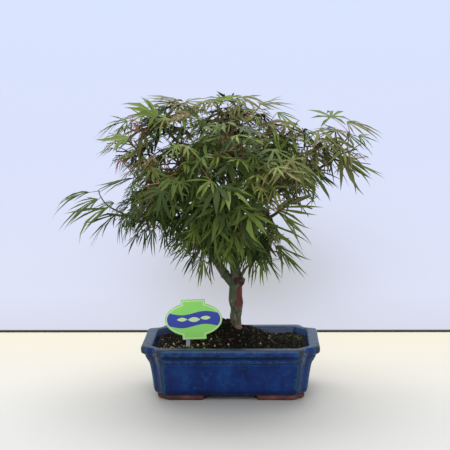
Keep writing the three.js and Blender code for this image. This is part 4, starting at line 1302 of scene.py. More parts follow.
# %% [markdown]
# ## Leaves that stand out
# Most leaves are lost in the mass, but some stand alone against the wall or lie as whole stars in front of
# the others, and they give the crown its likeness. They are placed one by one, and the shoots' own leaves
# then keep clear of them. Each is given as it looks from the camera's place: where its hub and the tip of
# its middle lobe are seen in the plane through the trunk, and how deep each really lies.

# %% Leaves that stand out
# Hub: right, up, depth. Tip: right, up, depth. Roll about the middle lobe in degrees, breadth and spread.
SINGLE_LEAVES = {
    "leaf_green": [
        (-132, 217, -20, -157, 207, -24, 30, 1, 0.4), (-159, 229, -18, -201, 218, -22, 40, 0.9, 0.16),
        (-150, 221, -18, -193, 199, -24, 30, 0.9, 0.4), (-108, 245, -12, -158, 227, -16, 20, 1.2, 0.14),
        (-137, 200, -22, -161, 168, -26, 0, 0.8, 0.15), (-121, 203, -28, -131, 173, -34, 0, 1, 0.35),
        (-105, 182, -24, -119, 161, -28, 20, 1, 0.4), (-88, 187, -30, -92, 160, -36, 0, 1.1, 0.35),
        (-59, 176, -30, -78, 157, -36, 20, 1, 0.4), (-45, 168, -34, -67, 145, -40, 20, 1.1, 0.4),
        (-33, 154, -24, -45, 132, -30, 10, 1, 0.4), (26, 154, -26, 27, 126, -32, 0, 1, 0.35),
        (37, 156, -34, 56, 126, -40, -20, 1, 0.35), (50, 167, -30, 84, 136, -36, -30, 1, 0.35),
        (91, 250, -36, 108, 217, -48, -30, 1.1, 0.5), (79, 239, -40, 100, 216, -48, -20, 1.1, 0.5),
        (-115, 309, -16, -147, 300, -20, 30, 0.9, 0.6), (-131, 279, -16, -153, 270, -20, 20, 0.8, 0.4),
        (-57, 327, -14, -62, 303, -34, 0, 1, 1), (-66, 314, -20, -88, 306, -30, 20, 1, 0.7),
        (-77, 306, -40, -98, 288, -46, 0, 1.3, 0.6), (-92, 260, -36, -108, 246, -40, 0, 1.3, 0.6),
        (-118, 314, -20, -152, 285, -24, 0, 0.9, 0.12), (-116, 212, -22, -140, 200, -26, 20, 0.9, 0.35),
        (114, 312, -12, 107, 325, 28, 0, 1.1, 1), (131, 293, -18, 158, 274, -24, -20, 1.1, 0.6),
        (-8, 262, -60, -10, 244, -66, 0, 3, 0.3),
    ],
    "fresh_green": [
        (-140, 211, -22, -187, 187, -30, 35, 1.1, 0.3), (-111, 197, -30, -123, 172, -36, 0, 1, 0.35),
        (-50, 176, -34, -70, 152, -40, 20, 1, 0.4), (-31, 152, -34, -34, 121, -40, 0, 1.1, 0.3),
        (35, 156, -30, 38, 124, -36, 0, 1.1, 0.35), (54, 167, -24, 70, 138, -30, -20, 1, 0.35),
        (39, 190, -34, 86, 163, -40, -40, 0.9, 0.22), (51, 209, -40, 100, 205, -48, -75, 0.9, 0.3),
        (51, 208, -44, 86, 170, -60, -60, 0.8, 0.1), (23, 204, -106, 14, 172, -134, 0, 1.2, 0.9),
        (-18, 331, -12, 17, 335, -16, -30, 2.6, 0.25), (-97, 270, -30, -110, 252, -36, 0, 1.3, 0.6),
        (-108, 278, -30, -127, 262, -34, 20, 1.2, 0.4), (0, 232, -107, 0, 208, -135, 0, 1.2, 1),
        (53, 318, -14, 82, 299, -20, -20, 1.2, 0.4), (30, 247, -104, 42, 236, -118, 0, 1, 1),
        (-22, 241, -104, -46, 230, -118, 30, 1, 1), (-84, 313, -46, -113, 343, -52, 40, 1.8, 0.6),
        (-113, 291, -40, -149, 282, -44, 30, 2, 0.35), (127, 266, -28, 168, 241, -34, -30, 1, 0.35),
        (144, 291, -16, 166, 283, -20, -30, 1, 0.5),
    ],
    "deep_green": [
        (6, 268, -30, 8, 246, -40, 0, 1.3, 0.9), (26, 258, -30, 34, 238, -40, 0, 1.3, 0.8),
        (-16, 262, -30, -22, 238, -40, 0, 1.3, 0.8), (-26, 271, -56, -38, 252, -64, 0, 2.6, 0.8),
        (14, 231, -50, 44, 228, -56, -40, 3.2, 0.45),
    ],
    "bottle_green": [
        (-97, 266, -14, -121, 254, -18, 20, 1.2, 0.5), (-94, 252, -14, -113, 240, -18, 20, 1.2, 0.6),
        (-30, 309, -40, -40, 291, -46, 0, 1.3, 0.8), (-129, 204, -24, -165, 181, -30, 30, 1, 0.35),
        (-98, 187, -28, -100, 164, -34, 0, 1, 0.35), (-74, 184, -30, -77, 161, -36, 0, 1, 0.35),
        (-39, 160, -30, -58, 136, -36, 20, 1, 0.4), (-22, 152, -30, -26, 127, -34, 0, 1, 0.35),
        (92, 252, -34, 124, 236, -40, -40, 0.9, 0.4), (-62, 250, -50, -74, 232, -58, 0, 1.4, 0.7),
        (-108, 222, -20, -130, 212, -24, 20, 1, 0.4), (-102, 230, -10, -122, 216, -14, 20, 1, 0.4),
        (121, 297, -10, 83, 297, -8, 20, 0.9, 0.4), (8, 244, -34, -2, 222, -44, 0, 1.2, 0.7),
    ],
    "olive": [
        (-55, 328, -10, -44, 310, -30, 0, 1, 1), (125, 268, -30, 147, 230, -44, -40, 1.3, 0.45),
        (131, 307, -12, 170, 290, -16, -30, 1, 0.4), (118, 298, -22, 119, 276, -40, 0, 1, 0.8),
        (34, 326, -10, 64, 335, 16, 0, 0.9, 0.5), (34, 327, -10, 78, 322, -14, -10, 0.9, 0.5),
        (-50, 330, -6, -22, 326, -20, -30, 1, 0.6), (14, 335, -14, 43, 327, -20, -30, 1.5, 0.4),
        (12, 333, -16, 2, 314, -30, 0, 1.2, 0.7), (-30, 330, -10, -38, 312, -24, 0, 1.2, 0.7),
        (-56, 282, -60, -46, 262, -68, 0, 1.2, 0.8), (-56, 331, -10, -97, 339, -14, 20, 1, 0.3),
        (-54, 328, -14, -100, 328, -20, 20, 1.2, 0.3), (-108, 272, -34, -132, 262, -40, 20, 1.6, 0.4),
    ],
    "bronze": [(-45, 317, -50, -79, 311, -58, 20, 1.2, 0.5)],
    "young_red": [
        (-103, 296, -50, -107, 311, -52, 0, 2, 0.4), (-98, 296, -50, -88, 309, -52, 0, 2, 0.4),
        (-125, 266, -44, -131, 252, -46, 0, 2, 0.3), (-112, 260, -44, -127, 268, -46, 0, 2, 0.3),
        (20, 312, -48, 26, 322, -50, 0, 1.8, 0.4), (36, 304, -48, 44, 314, -50, 0, 1.8, 0.4),
        (-114, 252, -16, -122, 240, -18, 0, 1.6, 0.3),
    ],
}


def along_sight(right, up, depth):
    """Points at a depth that the camera sees at right and up in the plane through the trunk."""
    seen = np.stack([right, 0 * right, up], axis=-1)
    return EYE + (seen - EYE) * ((EYE[1] - depth) / EYE[1])[:, None]


def single_leaves(rows):
    """Hub, forward, normal, length, breadth and spread of each. Forward aims a little over the tip, which
    the droop brings down again. The upper face looks up as far as it can and is then rolled about
    forward."""
    right, up, depth, tip_right, tip_up, tip_depth, roll, breadth, spread = np.array(rows, float).T
    hub = along_sight(right, up, depth)
    span = along_sight(tip_right, tip_up, tip_depth) - hub
    length = np.linalg.norm(span, axis=1)
    forward = unit(span + 0.2 * length[:, None] * np.array([0, 0, 1.0]))
    upward = unit(np.array([0, 0, 1.0]) - forward * forward[:, 2:])
    beside = np.cross(upward, forward)
    roll = np.radians(roll)[:, None]
    normal = np.cos(roll) * upward + np.sin(roll) * beside
    return hub, forward, normal, 1.05 * length, breadth * (0.35 + 0.65 * spread), spread


single_rows = [row for rows in SINGLE_LEAVES.values() for row in rows]
single_tint = [tint for tint, rows in SINGLE_LEAVES.items() for _ in rows]
single_hub, single_forward, single_normal, *single_sizes = single_leaves(single_rows)
single_length, single_breadth, single_spread = single_sizes
# The twig that carries the far left leaves, from its bough's tip to its own end
sprig_seen = np.array([(-137, 212, -18), (-144, 219, -18), (-148, 226, -18), (-149, 232, -18)], float)
sprig_start = limb_paths["far_left_bough"][-1] - [0, 0, 1.0]
sprig_path = smooth_path([sprig_start, *along_sight(*sprig_seen.T)], 24)
twig_ends = [ends for part in grown for ends in (part["shoots"][1], part["forks"][1])]
twig_ends = np.concatenate([*twig_ends, sprig_path[6:]])
single_node = twig_ends[np.linalg.norm(single_hub[:, None] - twig_ends, axis=-1).argmin(axis=1)]
print(len(single_hub), "leaves placed one by one")

# %% Leaves on all the shoots
hubs_so_far, leaves = list(single_hub), []
shoot_number = 0
for mass, part in enumerate(grown):
    for root, tip in zip(*part["shoots"]):
        leaves += leaves_of_shoot(mass, shoot_number, root, tip, hubs_so_far)
        shoot_number += 1
leaf_shoot, leaf_node, leaf_hub, leaf_forward, leaf_normal, leaf_length = map(np.array, zip(*leaves))
print(len(leaves), "leaves on the shoots, with lobes of", leaf_length.mean().round(1), "mm on average")

# %% [markdown]
# ## Twigs and stalks
# Stems and forks are brown-green wood like the boughs, shoots are smoother and redder, and stalks are thin
# and red. Each kind is one joined mesh, computed as arrays with one more axis for the number of the twig.

# %% Twigs and stalks
def arcs(starts, ends, lift, rows):
    """Curves from starts to ends whose bend is lifted by a share of their length."""
    span = np.linalg.norm(ends - starts, axis=-1, keepdims=True)
    bend = (starts + ends) / 2 + span * lift * np.array([0, 0, 1.0])
    return bent_path(starts, bend, ends, rows)


stems = np.array([part["stem"] for part in grown])
stem_paths = bent_path(stems[:, 0], stems[:, 1], stems[:, 2], 10)
fork_starts = np.concatenate([part["forks"][0] for part in grown])
fork_ends = np.concatenate([part["forks"][1] for part in grown])
fork_paths = arcs(fork_starts, fork_ends, 0.06, 9)
# Small random moves that fade towards a fork's ends
knots = np.random.default_rng(77).normal(size=fork_paths.shape) * 0.5
fork_paths = fork_paths + knots * np.sin(np.linspace(0, np.pi, fork_paths.shape[1]))[:, None]
shoot_roots = np.concatenate([part["shoots"][0] for part in grown])
shoot_ends = np.concatenate([part["shoots"][1] for part in grown])
shoot_paths = arcs(shoot_roots, shoot_ends, 0.05, 8)
stalk_roots = np.concatenate([leaf_node, single_node])
stalk_ends = np.concatenate([leaf_hub - leaf_normal * 0.5, single_hub - single_normal * 0.5])
stalk_paths = arcs(stalk_roots, stalk_ends, 0.1, 5)

twig_parts = [
    tapered_tubes(stem_paths, 1.9, 1.2, 8),
    tapered_tubes(fork_paths, 1.15, 0.7, 6),
    tapered_tubes(sprig_path[None], 1.2, 0.5, 6),
]
twig_points, twig_faces = join(twig_parts)
twig_youth = np.full(len(twig_points), 0.75)
make_piece("twigs", twig_points, twig_faces, bark_finish, "bark", young=twig_youth)





shoot = two_tones("young_shoot", shown(116, 72, 52), shown(110, 96, 52), 0.5, 60.0, 0.35)
make_piece("shoots", *tapered_tubes(shoot_paths, 0.75, 0.5, 5), shoot.material, "bark")
stalk = two_tones("red_stalk", shown(140, 70, 56), shown(128, 106, 60), 0.5, 60.0, 0.35)
make_piece("leaf_stalks", *tapered_tubes(stalk_paths, 0.5, 0.38, 3), stalk.material, "leaf")

# %% [markdown]
# ## The shape of a leaf
# A Japanese maple's leaf has seven narrow lobes that spread like fingers from its hub, cut almost down to
# it. Each lobe is a blade folded along its rib. It is narrow at its foot and widest past its middle, and it
# ends in a long point that arches down. A cut-out picture on a plane would be cheaper, but it casts the
# wrong shadow and is lost in an export, so each leaf has 56 real faces in its own outline.

# %% The pattern of a leaf
RIB_AT = np.array([0.28, 0.56, 0.82, 1.0])
EDGE_AT, EDGE_WIDTH = RIB_AT[:3], np.array([0.038, 0.064, 0.026])
# How far from the hub the leaf's edge lies between two lobes and beside the first and last, and at what angle
GAP_AT, BASE_AT, BASE_TURN = 0.1, 0.05, 0.55
LOBES = len(LOBE_ANGLES)
POINTS_PER_LOBE = 10


def leaf_faces():
    """Faces of one leaf. Point 0 is the hub. Each lobe has four points on its rib, three on its left edge and
    three on its right. The points between lobes come last, with one at each end of the row of lobes."""
    corners, quads = [], []
    for lobe in range(LOBES):
        rib = 1 + lobe * POINTS_PER_LOBE + np.arange(4)
        left, right = rib[0] + np.array([4, 5, 6]), rib[0] + np.array([7, 8, 9])
        right_gap = 1 + LOBES * POINTS_PER_LOBE + lobe
        left_gap = right_gap + 1
        quads += [[0, rib[0], left[0], left_gap], [0, right_gap, right[0], rib[0]]]
        for step in (0, 1):
            quads += [[rib[step], rib[step + 1], left[step + 1], left[step]]]
            quads += [[rib[step], right[step], right[step + 1], rib[step + 1]]]
        corners += [[rib[2], rib[3], left[2]], [rib[2], right[2], rib[3]]]
    return np.array(corners), np.array(quads)


LEAF_CORNERS, LEAF_QUADS = leaf_faces()


def leaf_points(hub, forward, normal, length, random, breadths, spreads, droop=0.26, fold=0.3):
    """All points of many leaves. In a leaf's own plane a rib's point lies at length * share * at along the
    lobe, whose angle bends a little on the way, and an edge's point lies beside it by its breadth. Each
    sinks by droop * length * at^2, halfway between the leaf's underside and straight down, and an edge is
    raised over its rib by the fold."""
    count = len(hub)
    lobe_angles = LOBE_ANGLES[:, None] * spreads[:, None, None]
    side = np.cross(normal, forward)
    down = unit(normal + np.array([0, 0, 1.0]))
    wobble = np.radians(6) * random.normal(size=(count, LOBES, 1))
    sweep = np.radians(10) * random.normal(size=(count, LOBES, 1))
    size = length[:, None, None] * LOBE_SHARES[:, None] * random.uniform(0.85, 1.08, (count, LOBES, 1))
    sink = droop + 0.1 * random.normal(size=(count, LOBES, 1))
    breadth = (length * breadths)[:, None, None] * (0.45 + 0.55 * LOBE_SHARES[:, None])
    breadth = breadth * random.uniform(0.85, 1.2, (count, LOBES, 1))

    def placed(at, offset, lift):
        angle = lobe_angles + wobble + sweep * at**2
        far = size * at
        x = (np.cos(angle) * far - np.sin(angle) * offset)[..., None]
        y = (np.sin(angle) * far + np.cos(angle) * offset)[..., None]
        fallen = (sink * size * at**2)[..., None]
        raised = (lift + 0 * far)[..., None]
        across = x * forward[:, None, None] + y * side[:, None, None]
        return across - fallen * down[:, None, None] + raised * normal[:, None, None]

    ribs = placed(RIB_AT, 0.0, 0.0)
    left = placed(EDGE_AT, breadth * EDGE_WIDTH, breadth * EDGE_WIDTH * fold)
    right = placed(EDGE_AT, -breadth * EDGE_WIDTH, breadth * EDGE_WIDTH * fold)
    lobes = np.concatenate([ribs, left, right], axis=2).reshape(count, -1, 3)
    between = (LOBE_ANGLES[:-1] + LOBE_ANGLES[1:]) / 2
    gap_angles = np.array([LOBE_ANGLES[0] - BASE_TURN, *between, LOBE_ANGLES[-1] + BASE_TURN])
    gap_angles = gap_angles * spreads[:, None]
    gap_far = np.array([BASE_AT, *[GAP_AT] * (LOBES - 1), BASE_AT]) * length[:, None]
    gaps = (
        (np.cos(gap_angles) * gap_far)[..., None] * forward[:, None]
        + (np.sin(gap_angles) * gap_far)[..., None] * side[:, None]
        + (0.02 * gap_far)[..., None] * normal[:, None]
    )
    return hub[:, None] + np.concatenate([np.zeros((count, 1, 3)), lobes, gaps], axis=1)


def make_leaves(name, points, material, nodes=()):
    """One joined mesh of leaves."""
    count, step = points.shape[:2]
    faces = [repeated(count, step, LEAF_CORNERS), repeated(count, step, LEAF_QUADS)]
    make_piece(name, points.reshape(-1, 3), faces, material, "leaf", nodes)


# %% [markdown]
# ## Tints by spray
# Leaves of one shoot open together, so they share a tint. Deep green ones sit inside and low down, fresh
# green ones in front where the light falls, and olive and bronze ones at the top, where the growth is
# youngest. These tints are partly painted light and shade: the dark ones inside and low down paint shade, and
# the lighter ones in front and on top paint light and a greyish sheen. Each tint is a plain colour and a mesh
# of its own, which an export keeps exactly.

# %% Tints
TINTS = {
    "deep_green": (42, 55, 24),
    "bottle_green": (53, 69, 31),
    "leaf_green": (77, 94, 41),
    "fresh_green": (95, 112, 46),
    "light_green": (112, 120, 58),
    "olive": (97, 99, 54),
    "bronze": (94, 80, 44),
    "young_red": (156, 92, 88),
}
# Inner leaves open in the shade and grow broader lobes
TINT_BREADTHS = {"deep_green": 1.7, "bottle_green": 1.35, "leaf_green": 1.1}
CROWN_MIDDLE, CROWN_REACH = np.array([-12.0, 0.0, 235.0]), np.array([165.0, 130.0, 108.0])


def tint_scores(places):
    """One score for each tint. How far out in the crown a spray is, its height and some chance decide."""
    outer = np.linalg.norm((places - CROWN_MIDDLE) / CROWN_REACH, axis=-1)
    height = np.clip((places[:, 2] - 180) / 150, 0, 1)
    rightness = np.clip(places[:, 0] / 120, 0, 1)
    chance = random.normal(size=(len(places), 7))
    # Dark tints score higher inside and low down, as painted shade; lighter ones score higher further out and
    # higher up, as painted light
    scores = np.stack([
        2.25 - 3.0 * outer - 1.0 * height - 0.3 * rightness,
        1.8 - 1.6 * outer - 0.6 * height - 0.4 * rightness,
        0.9 + 0 * height,
        -0.5 + 1.6 * outer - 0.1 * height + 0.4 * rightness,
        -2.1 + 2.2 * outer + 0.7 * height + 0.2 * rightness,
        -1.9 + 1.6 * outer + 1.8 * height + 0.9 * rightness,
        -2.1 + 1.4 * outer + 1.6 * height,
    ], axis=-1)
    return scores + 0.5 * chance


spray_tint = tint_scores(shoot_ends).argmax(axis=1)
leaf_tint = np.concatenate([np.array(list(TINTS))[spray_tint[leaf_shoot]], single_tint])
shape_random = np.random.default_rng(5)
shoots_spread = usual_spread(leaf_forward, leaf_hub)
shoots_breadth = np.array([TINT_BREADTHS.get(tint, 1.0) for tint in leaf_tint[:len(leaf_hub)]])
all_leaf_points = leaf_points(
    np.concatenate([leaf_hub, single_hub]),
    np.concatenate([leaf_forward, single_forward]),
    np.concatenate([leaf_normal, single_normal]),
    np.concatenate([leaf_length, single_length]),
    shape_random,
    breadths=np.concatenate([shoots_breadth * (0.6 + 0.4 * shoots_spread), single_breadth]),
    spreads=np.concatenate([shoots_spread, single_spread]),
)


def make_leaf(name, colour):
    """A plain colour with a soft gloss, and a fine grain of veins in its relief."""
    leaf = Finish(name, colour, 0.5, Specular_IOR_Level=0.15)
    leaf.bump(leaf.noise(1200.0), 0.0002, 0.3)
    return leaf.done(roughness=leaf.between(leaf.noise(300.0), 0.3, 0.7, 0.5, 0.7))


foliage_nodes = [f"foliage_{name}" for name in MASSES]
for tint_name, tone in TINTS.items():
    chosen = leaf_tint == tint_name
    nodes = foliage_nodes if tint_name == "deep_green" else ()
    make_leaves(f"leaves_{tint_name}", all_leaf_points[chosen], make_leaf(tint_name, shown(*tone)), nodes)

# One fallen young leaf lies on the soil in front of the trunk
fallen_hub = np.array([[-2.0, -25.0, 0.0]])
fallen_hub[:, 2] = soil_top(fallen_hub[:, 0], fallen_hub[:, 1]) + 1.5
fallen_points = leaf_points(
    fallen_hub, np.array([[0.9, 0.4, 0.1]]), np.array([[-0.1, 0.0, 1.0]]), np.array([6.5]), shape_random,
    breadths=np.array([1.6]), spreads=np.array([0.8]),
)
make_leaves("fallen_leaf", fallen_points, make_leaf("fallen_red", shown(150, 84, 84)))

# %% [markdown]
# ## The plant label
# A garden centre's label is a thin printed card, an oval with a tab above and below, clipped to a flat
# stake that is pushed into the soil. The card's face is made of rings that shrink towards its middle, so
# the mesh can carry how far each point lies from the edge, and the pale border follows the outline by
# itself.

# %% The card's shape
LABEL_MIDDLE = np.array([-41.9, -20.0, 86.1])
LABEL_HALF, TAB_HALF = (32.5, 19.6), (13.6, 23.0)
CARD_TILT, CARD_THICKNESS = np.radians(2.3), 1.2
# How far in from the outline the rings lie, from the back's middle to the edge, and on to the front's middle
BACK_DRAWS = (11.5, 6.0, 0.25, 0.0, 0.0)
FRONT_DRAWS = (0.25, 1.0, 1.3, 1.6, 2.0, 2.4, 4.0, 6.0, 9.0, 11.5)
OFF_THE_FRONT = -1.0


def card_outline(draw):
    """For each value of draw, the outline drawn in by so much, counter-clockwise seen from the front: the
    right arc of the oval, the upper tab, the left arc and the lower tab."""
    draw = np.asarray(draw, float)[:, None]
    half_x, half_z = LABEL_HALF[0] - draw, LABEL_HALF[1] - draw
    tab_x, tab_z = TAB_HALF[0] - draw, TAB_HALF[1] - draw
    meet = np.arccos(np.clip(tab_x / half_x, 0, 1))
    arc = np.linspace(-1, 1, 41) * meet
    right_x, right_z = half_x * np.cos(arc), half_z * np.sin(arc)
    corner = 0.9
    tab_edge_x = tab_x - corner * np.array([0, 0.06, 0.3, 1.0])
    tab_edge_z = tab_z - corner * np.array([1.0, 0.3, 0.06, 0])
    across = np.linspace(1, -1, 13)[1:-1] * (tab_x - corner)
    top_x = np.concatenate([tab_edge_x, across, -tab_edge_x[:, ::-1]], axis=1)
    top_z = np.concatenate([tab_edge_z, across * 0 + tab_z, tab_edge_z[:, ::-1]], axis=1)
    x = np.concatenate([right_x, top_x, -right_x, -top_x], axis=1)
    z = np.concatenate([right_z, top_z, -right_z, -top_z], axis=1)
    return x, z


def card_rings():
    """From the middle of the back, out to the edge and in again to the middle of the front, with eased
    edges. The card hangs a little turned on its clip."""
    draws = np.array([*BACK_DRAWS, *FRONT_DRAWS])
    depths = -np.array([0.0, 0.0, 0.0, 0.25, 0.95, *[CARD_THICKNESS] * len(FRONT_DRAWS)])
    x, z = card_outline(draws)
    cosine, sine = np.cos(CARD_TILT), np.sin(CARD_TILT)
    x, z = x * cosine - z * sine, x * sine + z * cosine
    rings = np.stack([x, depths[:, None] + 0 * x, z], axis=-1)
    front = np.where(np.arange(len(draws)) >= len(BACK_DRAWS), draws, OFF_THE_FRONT)
    return rings, np.broadcast_to(front[:, None], x.shape)


# %% [markdown]
# ## The print on the card
# The print is two flat colours in a pale border: a green ground, a blue band with wavy edges across its
# middle, and three pale pointed leaves on the band. Sine and oval formulas on Object coordinates draw it
# sharply at any size. It is a pattern of this plant's own, with no words.

# %% The card's finish
GROUND_GREEN = shown(150, 226, 112)
# The three printed leaves: across and up from the middle, half their length and half their width
PRINTED_LEAVES = [(-13.0, 0.4, 6.0, 2.2), (0.5, 0.0, 7.0, 2.8), (13.5, 1.6, 6.0, 2.2)]


def make_print():
    """Green ground, blue where |z - 2 sin(x / 8)| < 7.5, pale ovals on it, a white line 1.3 to 2.2 mm from
    the edge and light green outside it. x and z are counted from the card's middle."""
    card = Finish("printed_card", GROUND_GREEN, 0.5, Specular_IOR_Level=0.3)
    middle = in_frame(LABEL_MIDDLE)
    parts = card.parts(card.place)
    x = card.math("MULTIPLY", card.math("SUBTRACT", parts["X"], float(middle[0])), 1000.0)
    z = card.math("MULTIPLY", card.math("SUBTRACT", parts["Z"], float(middle[2])), 1000.0)
    z = card.math("SUBTRACT", z, card.math("MULTIPLY", x, float(CARD_TILT)))
    wave = card.math("MULTIPLY", card.math("SINE", card.math("DIVIDE", x, 8.0)), 2.0)
    band = card.math("LESS_THAN", card.math("ABSOLUTE", card.math("SUBTRACT", z, wave)), 7.5)
    colour = card.mix(band, GROUND_GREEN, shown(58, 74, 170))
    for across, up_by, half_long, half_wide in PRINTED_LEAVES:
        long_way = card.math("DIVIDE", card.math("SUBTRACT", x, across), half_long)
        room = card.math("SUBTRACT", 1.0, card.math("MULTIPLY", long_way, long_way))
        off = card.math("ABSOLUTE", card.math("SUBTRACT", z, up_by))
        oval = card.math("LESS_THAN", off, card.math("MULTIPLY", room, half_wide))
        colour = card.mix(oval, colour, shown(206, 236, 170))
    edge = card.value("from_edge")
    colour = card.mix(card.math("LESS_THAN", edge, 2.2), colour, shown(224, 240, 200))
    colour = card.mix(card.math("LESS_THAN", edge, 1.3), colour, shown(160, 226, 116))
    card.bump(card.noise(140.0), 0.0003, 0.15)
    return card.done(colour, card.between(card.noise(90.0), 0.3, 0.7, 0.42, 0.56))


rings, from_edge = card_rings()
card = closed_stack(rings + LABEL_MIDDLE)
from_edge = np.concatenate([from_edge.ravel(), [OFF_THE_FRONT, FRONT_DRAWS[-1]]])
make_piece("label_card", *card, make_print(), "label", ["label_plate"], smooth=False, from_edge=from_edge)

# %% [markdown]
# ## The stake
# The stake is a flat strip of off-white plastic with eased edges and a shallow groove down its face, and it
# ends in a point deep in the soil. Its section is carried down, and shrinks to the point.

# %% The stake
STAKE_X, STAKE_TOP, STAKE_TIP, STAKE_POINT = -47.5, 94.0, 30.0, 8.0
STAKE_HALF_WIDTH, STAKE_HALF_DEPTH, STAKE_MIDDLE_Y = 2.3, 0.8, -18.9
STAKE_LEAN = 0.03
# The section as shares of the half-width and half-depth, with the groove at the front
STAKE_SECTION = np.array([
    [1.0, -0.5], [1.0, 0.5], [0.85, 1.0], [-0.85, 1.0], [-1.0, 0.5], [-1.0, -0.5],
    [-0.85, -1.0], [-0.45, -1.0], [-0.3, -0.7], [0.3, -0.7], [0.45, -1.0], [0.85, -1.0],
])


def stake_rings():
    """The section at heights from the tip to the top, narrower below the shoulder of the point."""
    heights = np.array([STAKE_TIP + 0.2, STAKE_TIP + STAKE_POINT, 50, 60, 70, 80, 93.4, STAKE_TOP])
    width = STAKE_HALF_WIDTH * np.array([0.06, 1, 1, 1, 1, 1, 1, 0.9])
    depth = STAKE_HALF_DEPTH * np.array([0.8, 1, 1, 1, 1, 1, 1, 0.8])
    lean = STAKE_LEAN * (heights - STAKE_TOP)[:, None]
    x = STAKE_X + lean + width[:, None] * STAKE_SECTION[:, 0]
    y = STAKE_MIDDLE_Y + depth[:, None] * STAKE_SECTION[:, 1]
    return np.stack([x, y, heights[:, None] + 0 * x], axis=-1)


def make_stake():
    """Off-white plastic with faint greyer clouds and a fine grain."""
    stake = Finish("stake_plastic", shown(176, 176, 188), 0.5, Specular_IOR_Level=0.3)
    cloud = stake.between(stake.noise(130.0, 3.0, 0.5), 0.4, 0.65, 0.0, 0.5)
    colour = stake.mix(cloud, shown(178, 178, 190), shown(146, 146, 158))
    stake.bump(stake.noise(500.0), 0.0002, 0.2)
    return stake.done(colour, stake.between(stake.noise(200.0), 0.3, 0.7, 0.32, 0.5))


stake = closed_stack(stake_rings())
make_piece("label_stake_plastic", *stake, make_stake(), "stake", ["label_stake"], smooth=False)

# %% [markdown]
# ## Floor and light
# The plant stands on a plain pale table, greyer towards the front with painted shade, whose far edge shows
# behind it as a dark strip of painted shade in the gap before a pale wall's light beyond. One wide soft lamp
# above and a little behind gives the pale tops of the leaves and the shadow in front of the tray, a weaker
# one in front fills it, and the surroundings light the rest.

# %% The table
TABLE_REACH, TABLE_BACK, TABLE_THICKNESS = 2200, 290, 30
# Where the dark strip behind the table ends, and how high it stands: painted shade in the gap before the wall
EDGE_BACK, EDGE_HEIGHT = 296, 2.2


def make_stage(name, low, high, material):
    """A flat-topped block between two corners, not attached to the plant."""
    outline = [(low[0], low[1]), (high[0], low[1]), (high[0], high[1]), (low[0], high[1])]
    corners = np.array([[x, y, z] for z in (low[2], high[2]) for x, y in outline])
    faces = [(3, 2, 1, 0), (4, 5, 6, 7), (0, 1, 5, 4), (1, 2, 6, 5), (2, 3, 7, 6), (3, 0, 4, 7)]
    mesh = bpy.data.meshes.new(name)
    mesh.from_pydata((corners * MM + TRAY_MIDDLE).tolist(), [], faces)
    mesh.materials.append(material)
    block = bpy.data.objects.new(name, mesh)
    bpy.context.scene.collection.objects.link(block)


def make_table():
    """Warm white by the far edge and greyer towards the front: painted light by the far edge and painted
    shade towards the front, where less light falls.
    """
    table = Finish("table", shown(236, 232, 222), 0.6)
    # Painted shade towards the front and painted light by the far edge, from grey to warm white along Y
    near = table.between(table.parts(table.place)["Y"], -0.1, 0.25)
    return table.done(table.mix(near, shown(190, 190, 190), shown(192, 188, 175)))


front_corner = (-TABLE_REACH, -TABLE_REACH, -TABLE_THICKNESS)
make_stage("table_top", front_corner, (TABLE_REACH, TABLE_BACK, 0), make_table())
edge_corner = (-TABLE_REACH, TABLE_BACK, -TABLE_THICKNESS)
# A dark block a little above the table stands for the shade in the gap between table and wall: painted shade
gap_shade_finish = Finish("painted_gap_shade", shown(40, 38, 34), 0.7).done()
make_stage("gap_shade_strip", edge_corner, (TABLE_REACH, EDGE_BACK, EDGE_HEIGHT), gap_shade_finish)

# %% Lamps
# The point that both lamps face
LAMPS_FACE = np.array([0, 0, 150], float)


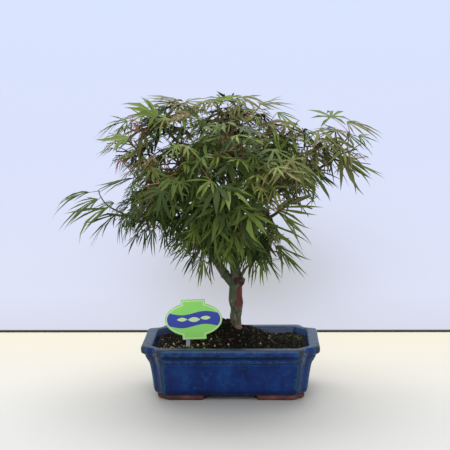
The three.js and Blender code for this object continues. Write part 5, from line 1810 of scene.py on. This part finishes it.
def add_lamp(name, place, size, power, colour):
    """A rectangular lamp at a place in millimetres that faces the plant. Its size is in metres."""
    data = bpy.data.lights.new(name, "AREA")
    data.shape = "RECTANGLE"
    data.size, data.size_y = size
    data.energy = power
    data.color = colour
    lamp = bpy.data.objects.new(name, data)
    bpy.context.scene.collection.objects.link(lamp)
    back = unit(np.array(place, float) - LAMPS_FACE)
    right = unit(np.cross([0, 1.0, 0.001], back))
    matrix = np.eye(4)
    matrix[:3, 0], matrix[:3, 1], matrix[:3, 2] = right, np.cross(back, right), back
    matrix[:3, 3] = in_frame(place)
    lamp.matrix_world = Matrix(matrix.tolist())


add_lamp("lamp_above", (-60, 500, 1500), (1.6, 1.2), 30.0, (1.0, 0.99, 0.97))
add_lamp("lamp_front", (60, -1900, 1300), (1.8, 1.4), 14.0, (1.0, 0.98, 0.95))

# %% Surroundings
# The directions' heights between which the colours below run, as parts of the direction's length
LOWEST, HIGHEST = -0.25, 0.35
WALL_COLOURS = [
    (0.0, shown(212, 213, 224)),
    (0.1, shown(223, 228, 248)),
    (0.3, shown(219, 226, 252)),
    (0.6, shown(217, 229, 255)),
    (1.0, shown(226, 226, 222)),
]
# The plant's soft shadow on the wall: middle and spread, across and up, as parts of the direction's length
SHADOW_MIDDLE, SHADOW_SPREAD = (-0.017, -0.175), (0.08, 0.042)
SHADOW_STRENGTH, SHADOW_COLOUR, NATURAL_BASE = 0.9, shown(186, 186, 187), 2.718


class Surroundings(Finish):
    """The helpers for finishes on a world's nodes."""

    def __init__(self, name):
        self.world = bpy.data.worlds.new(name)
        self.world.use_nodes = True
        self.tree = self.world.node_tree


around = Surroundings("surroundings")
parts = around.parts(around.tree.nodes.new("ShaderNodeTexCoord").outputs["Generated"])
wall = around.ramp(around.between(parts["Z"], LOWEST, HIGHEST), WALL_COLOURS)
# The shadow fades as exp(-(across^2 + up^2))
across, upward = (
    around.math("DIVIDE", around.math("SUBTRACT", parts[axis], middle), spread)
    for axis, middle, spread in zip("XZ", SHADOW_MIDDLE, SHADOW_SPREAD)
)
away = around.math("ADD", around.math("MULTIPLY", across, across), around.math("MULTIPLY", upward, upward))
fade = around.math("POWER", NATURAL_BASE, around.math("MULTIPLY", away, -1.0))
shade = around.math("MULTIPLY", fade, SHADOW_STRENGTH)
around.link(around.mix(shade, wall, SHADOW_COLOUR), around.tree.nodes["Background"].inputs["Color"])
bpy.context.scene.world = around.world
bpy.context.scene.view_settings.view_transform = "Standard"
print("Lamps and surroundings are in place")
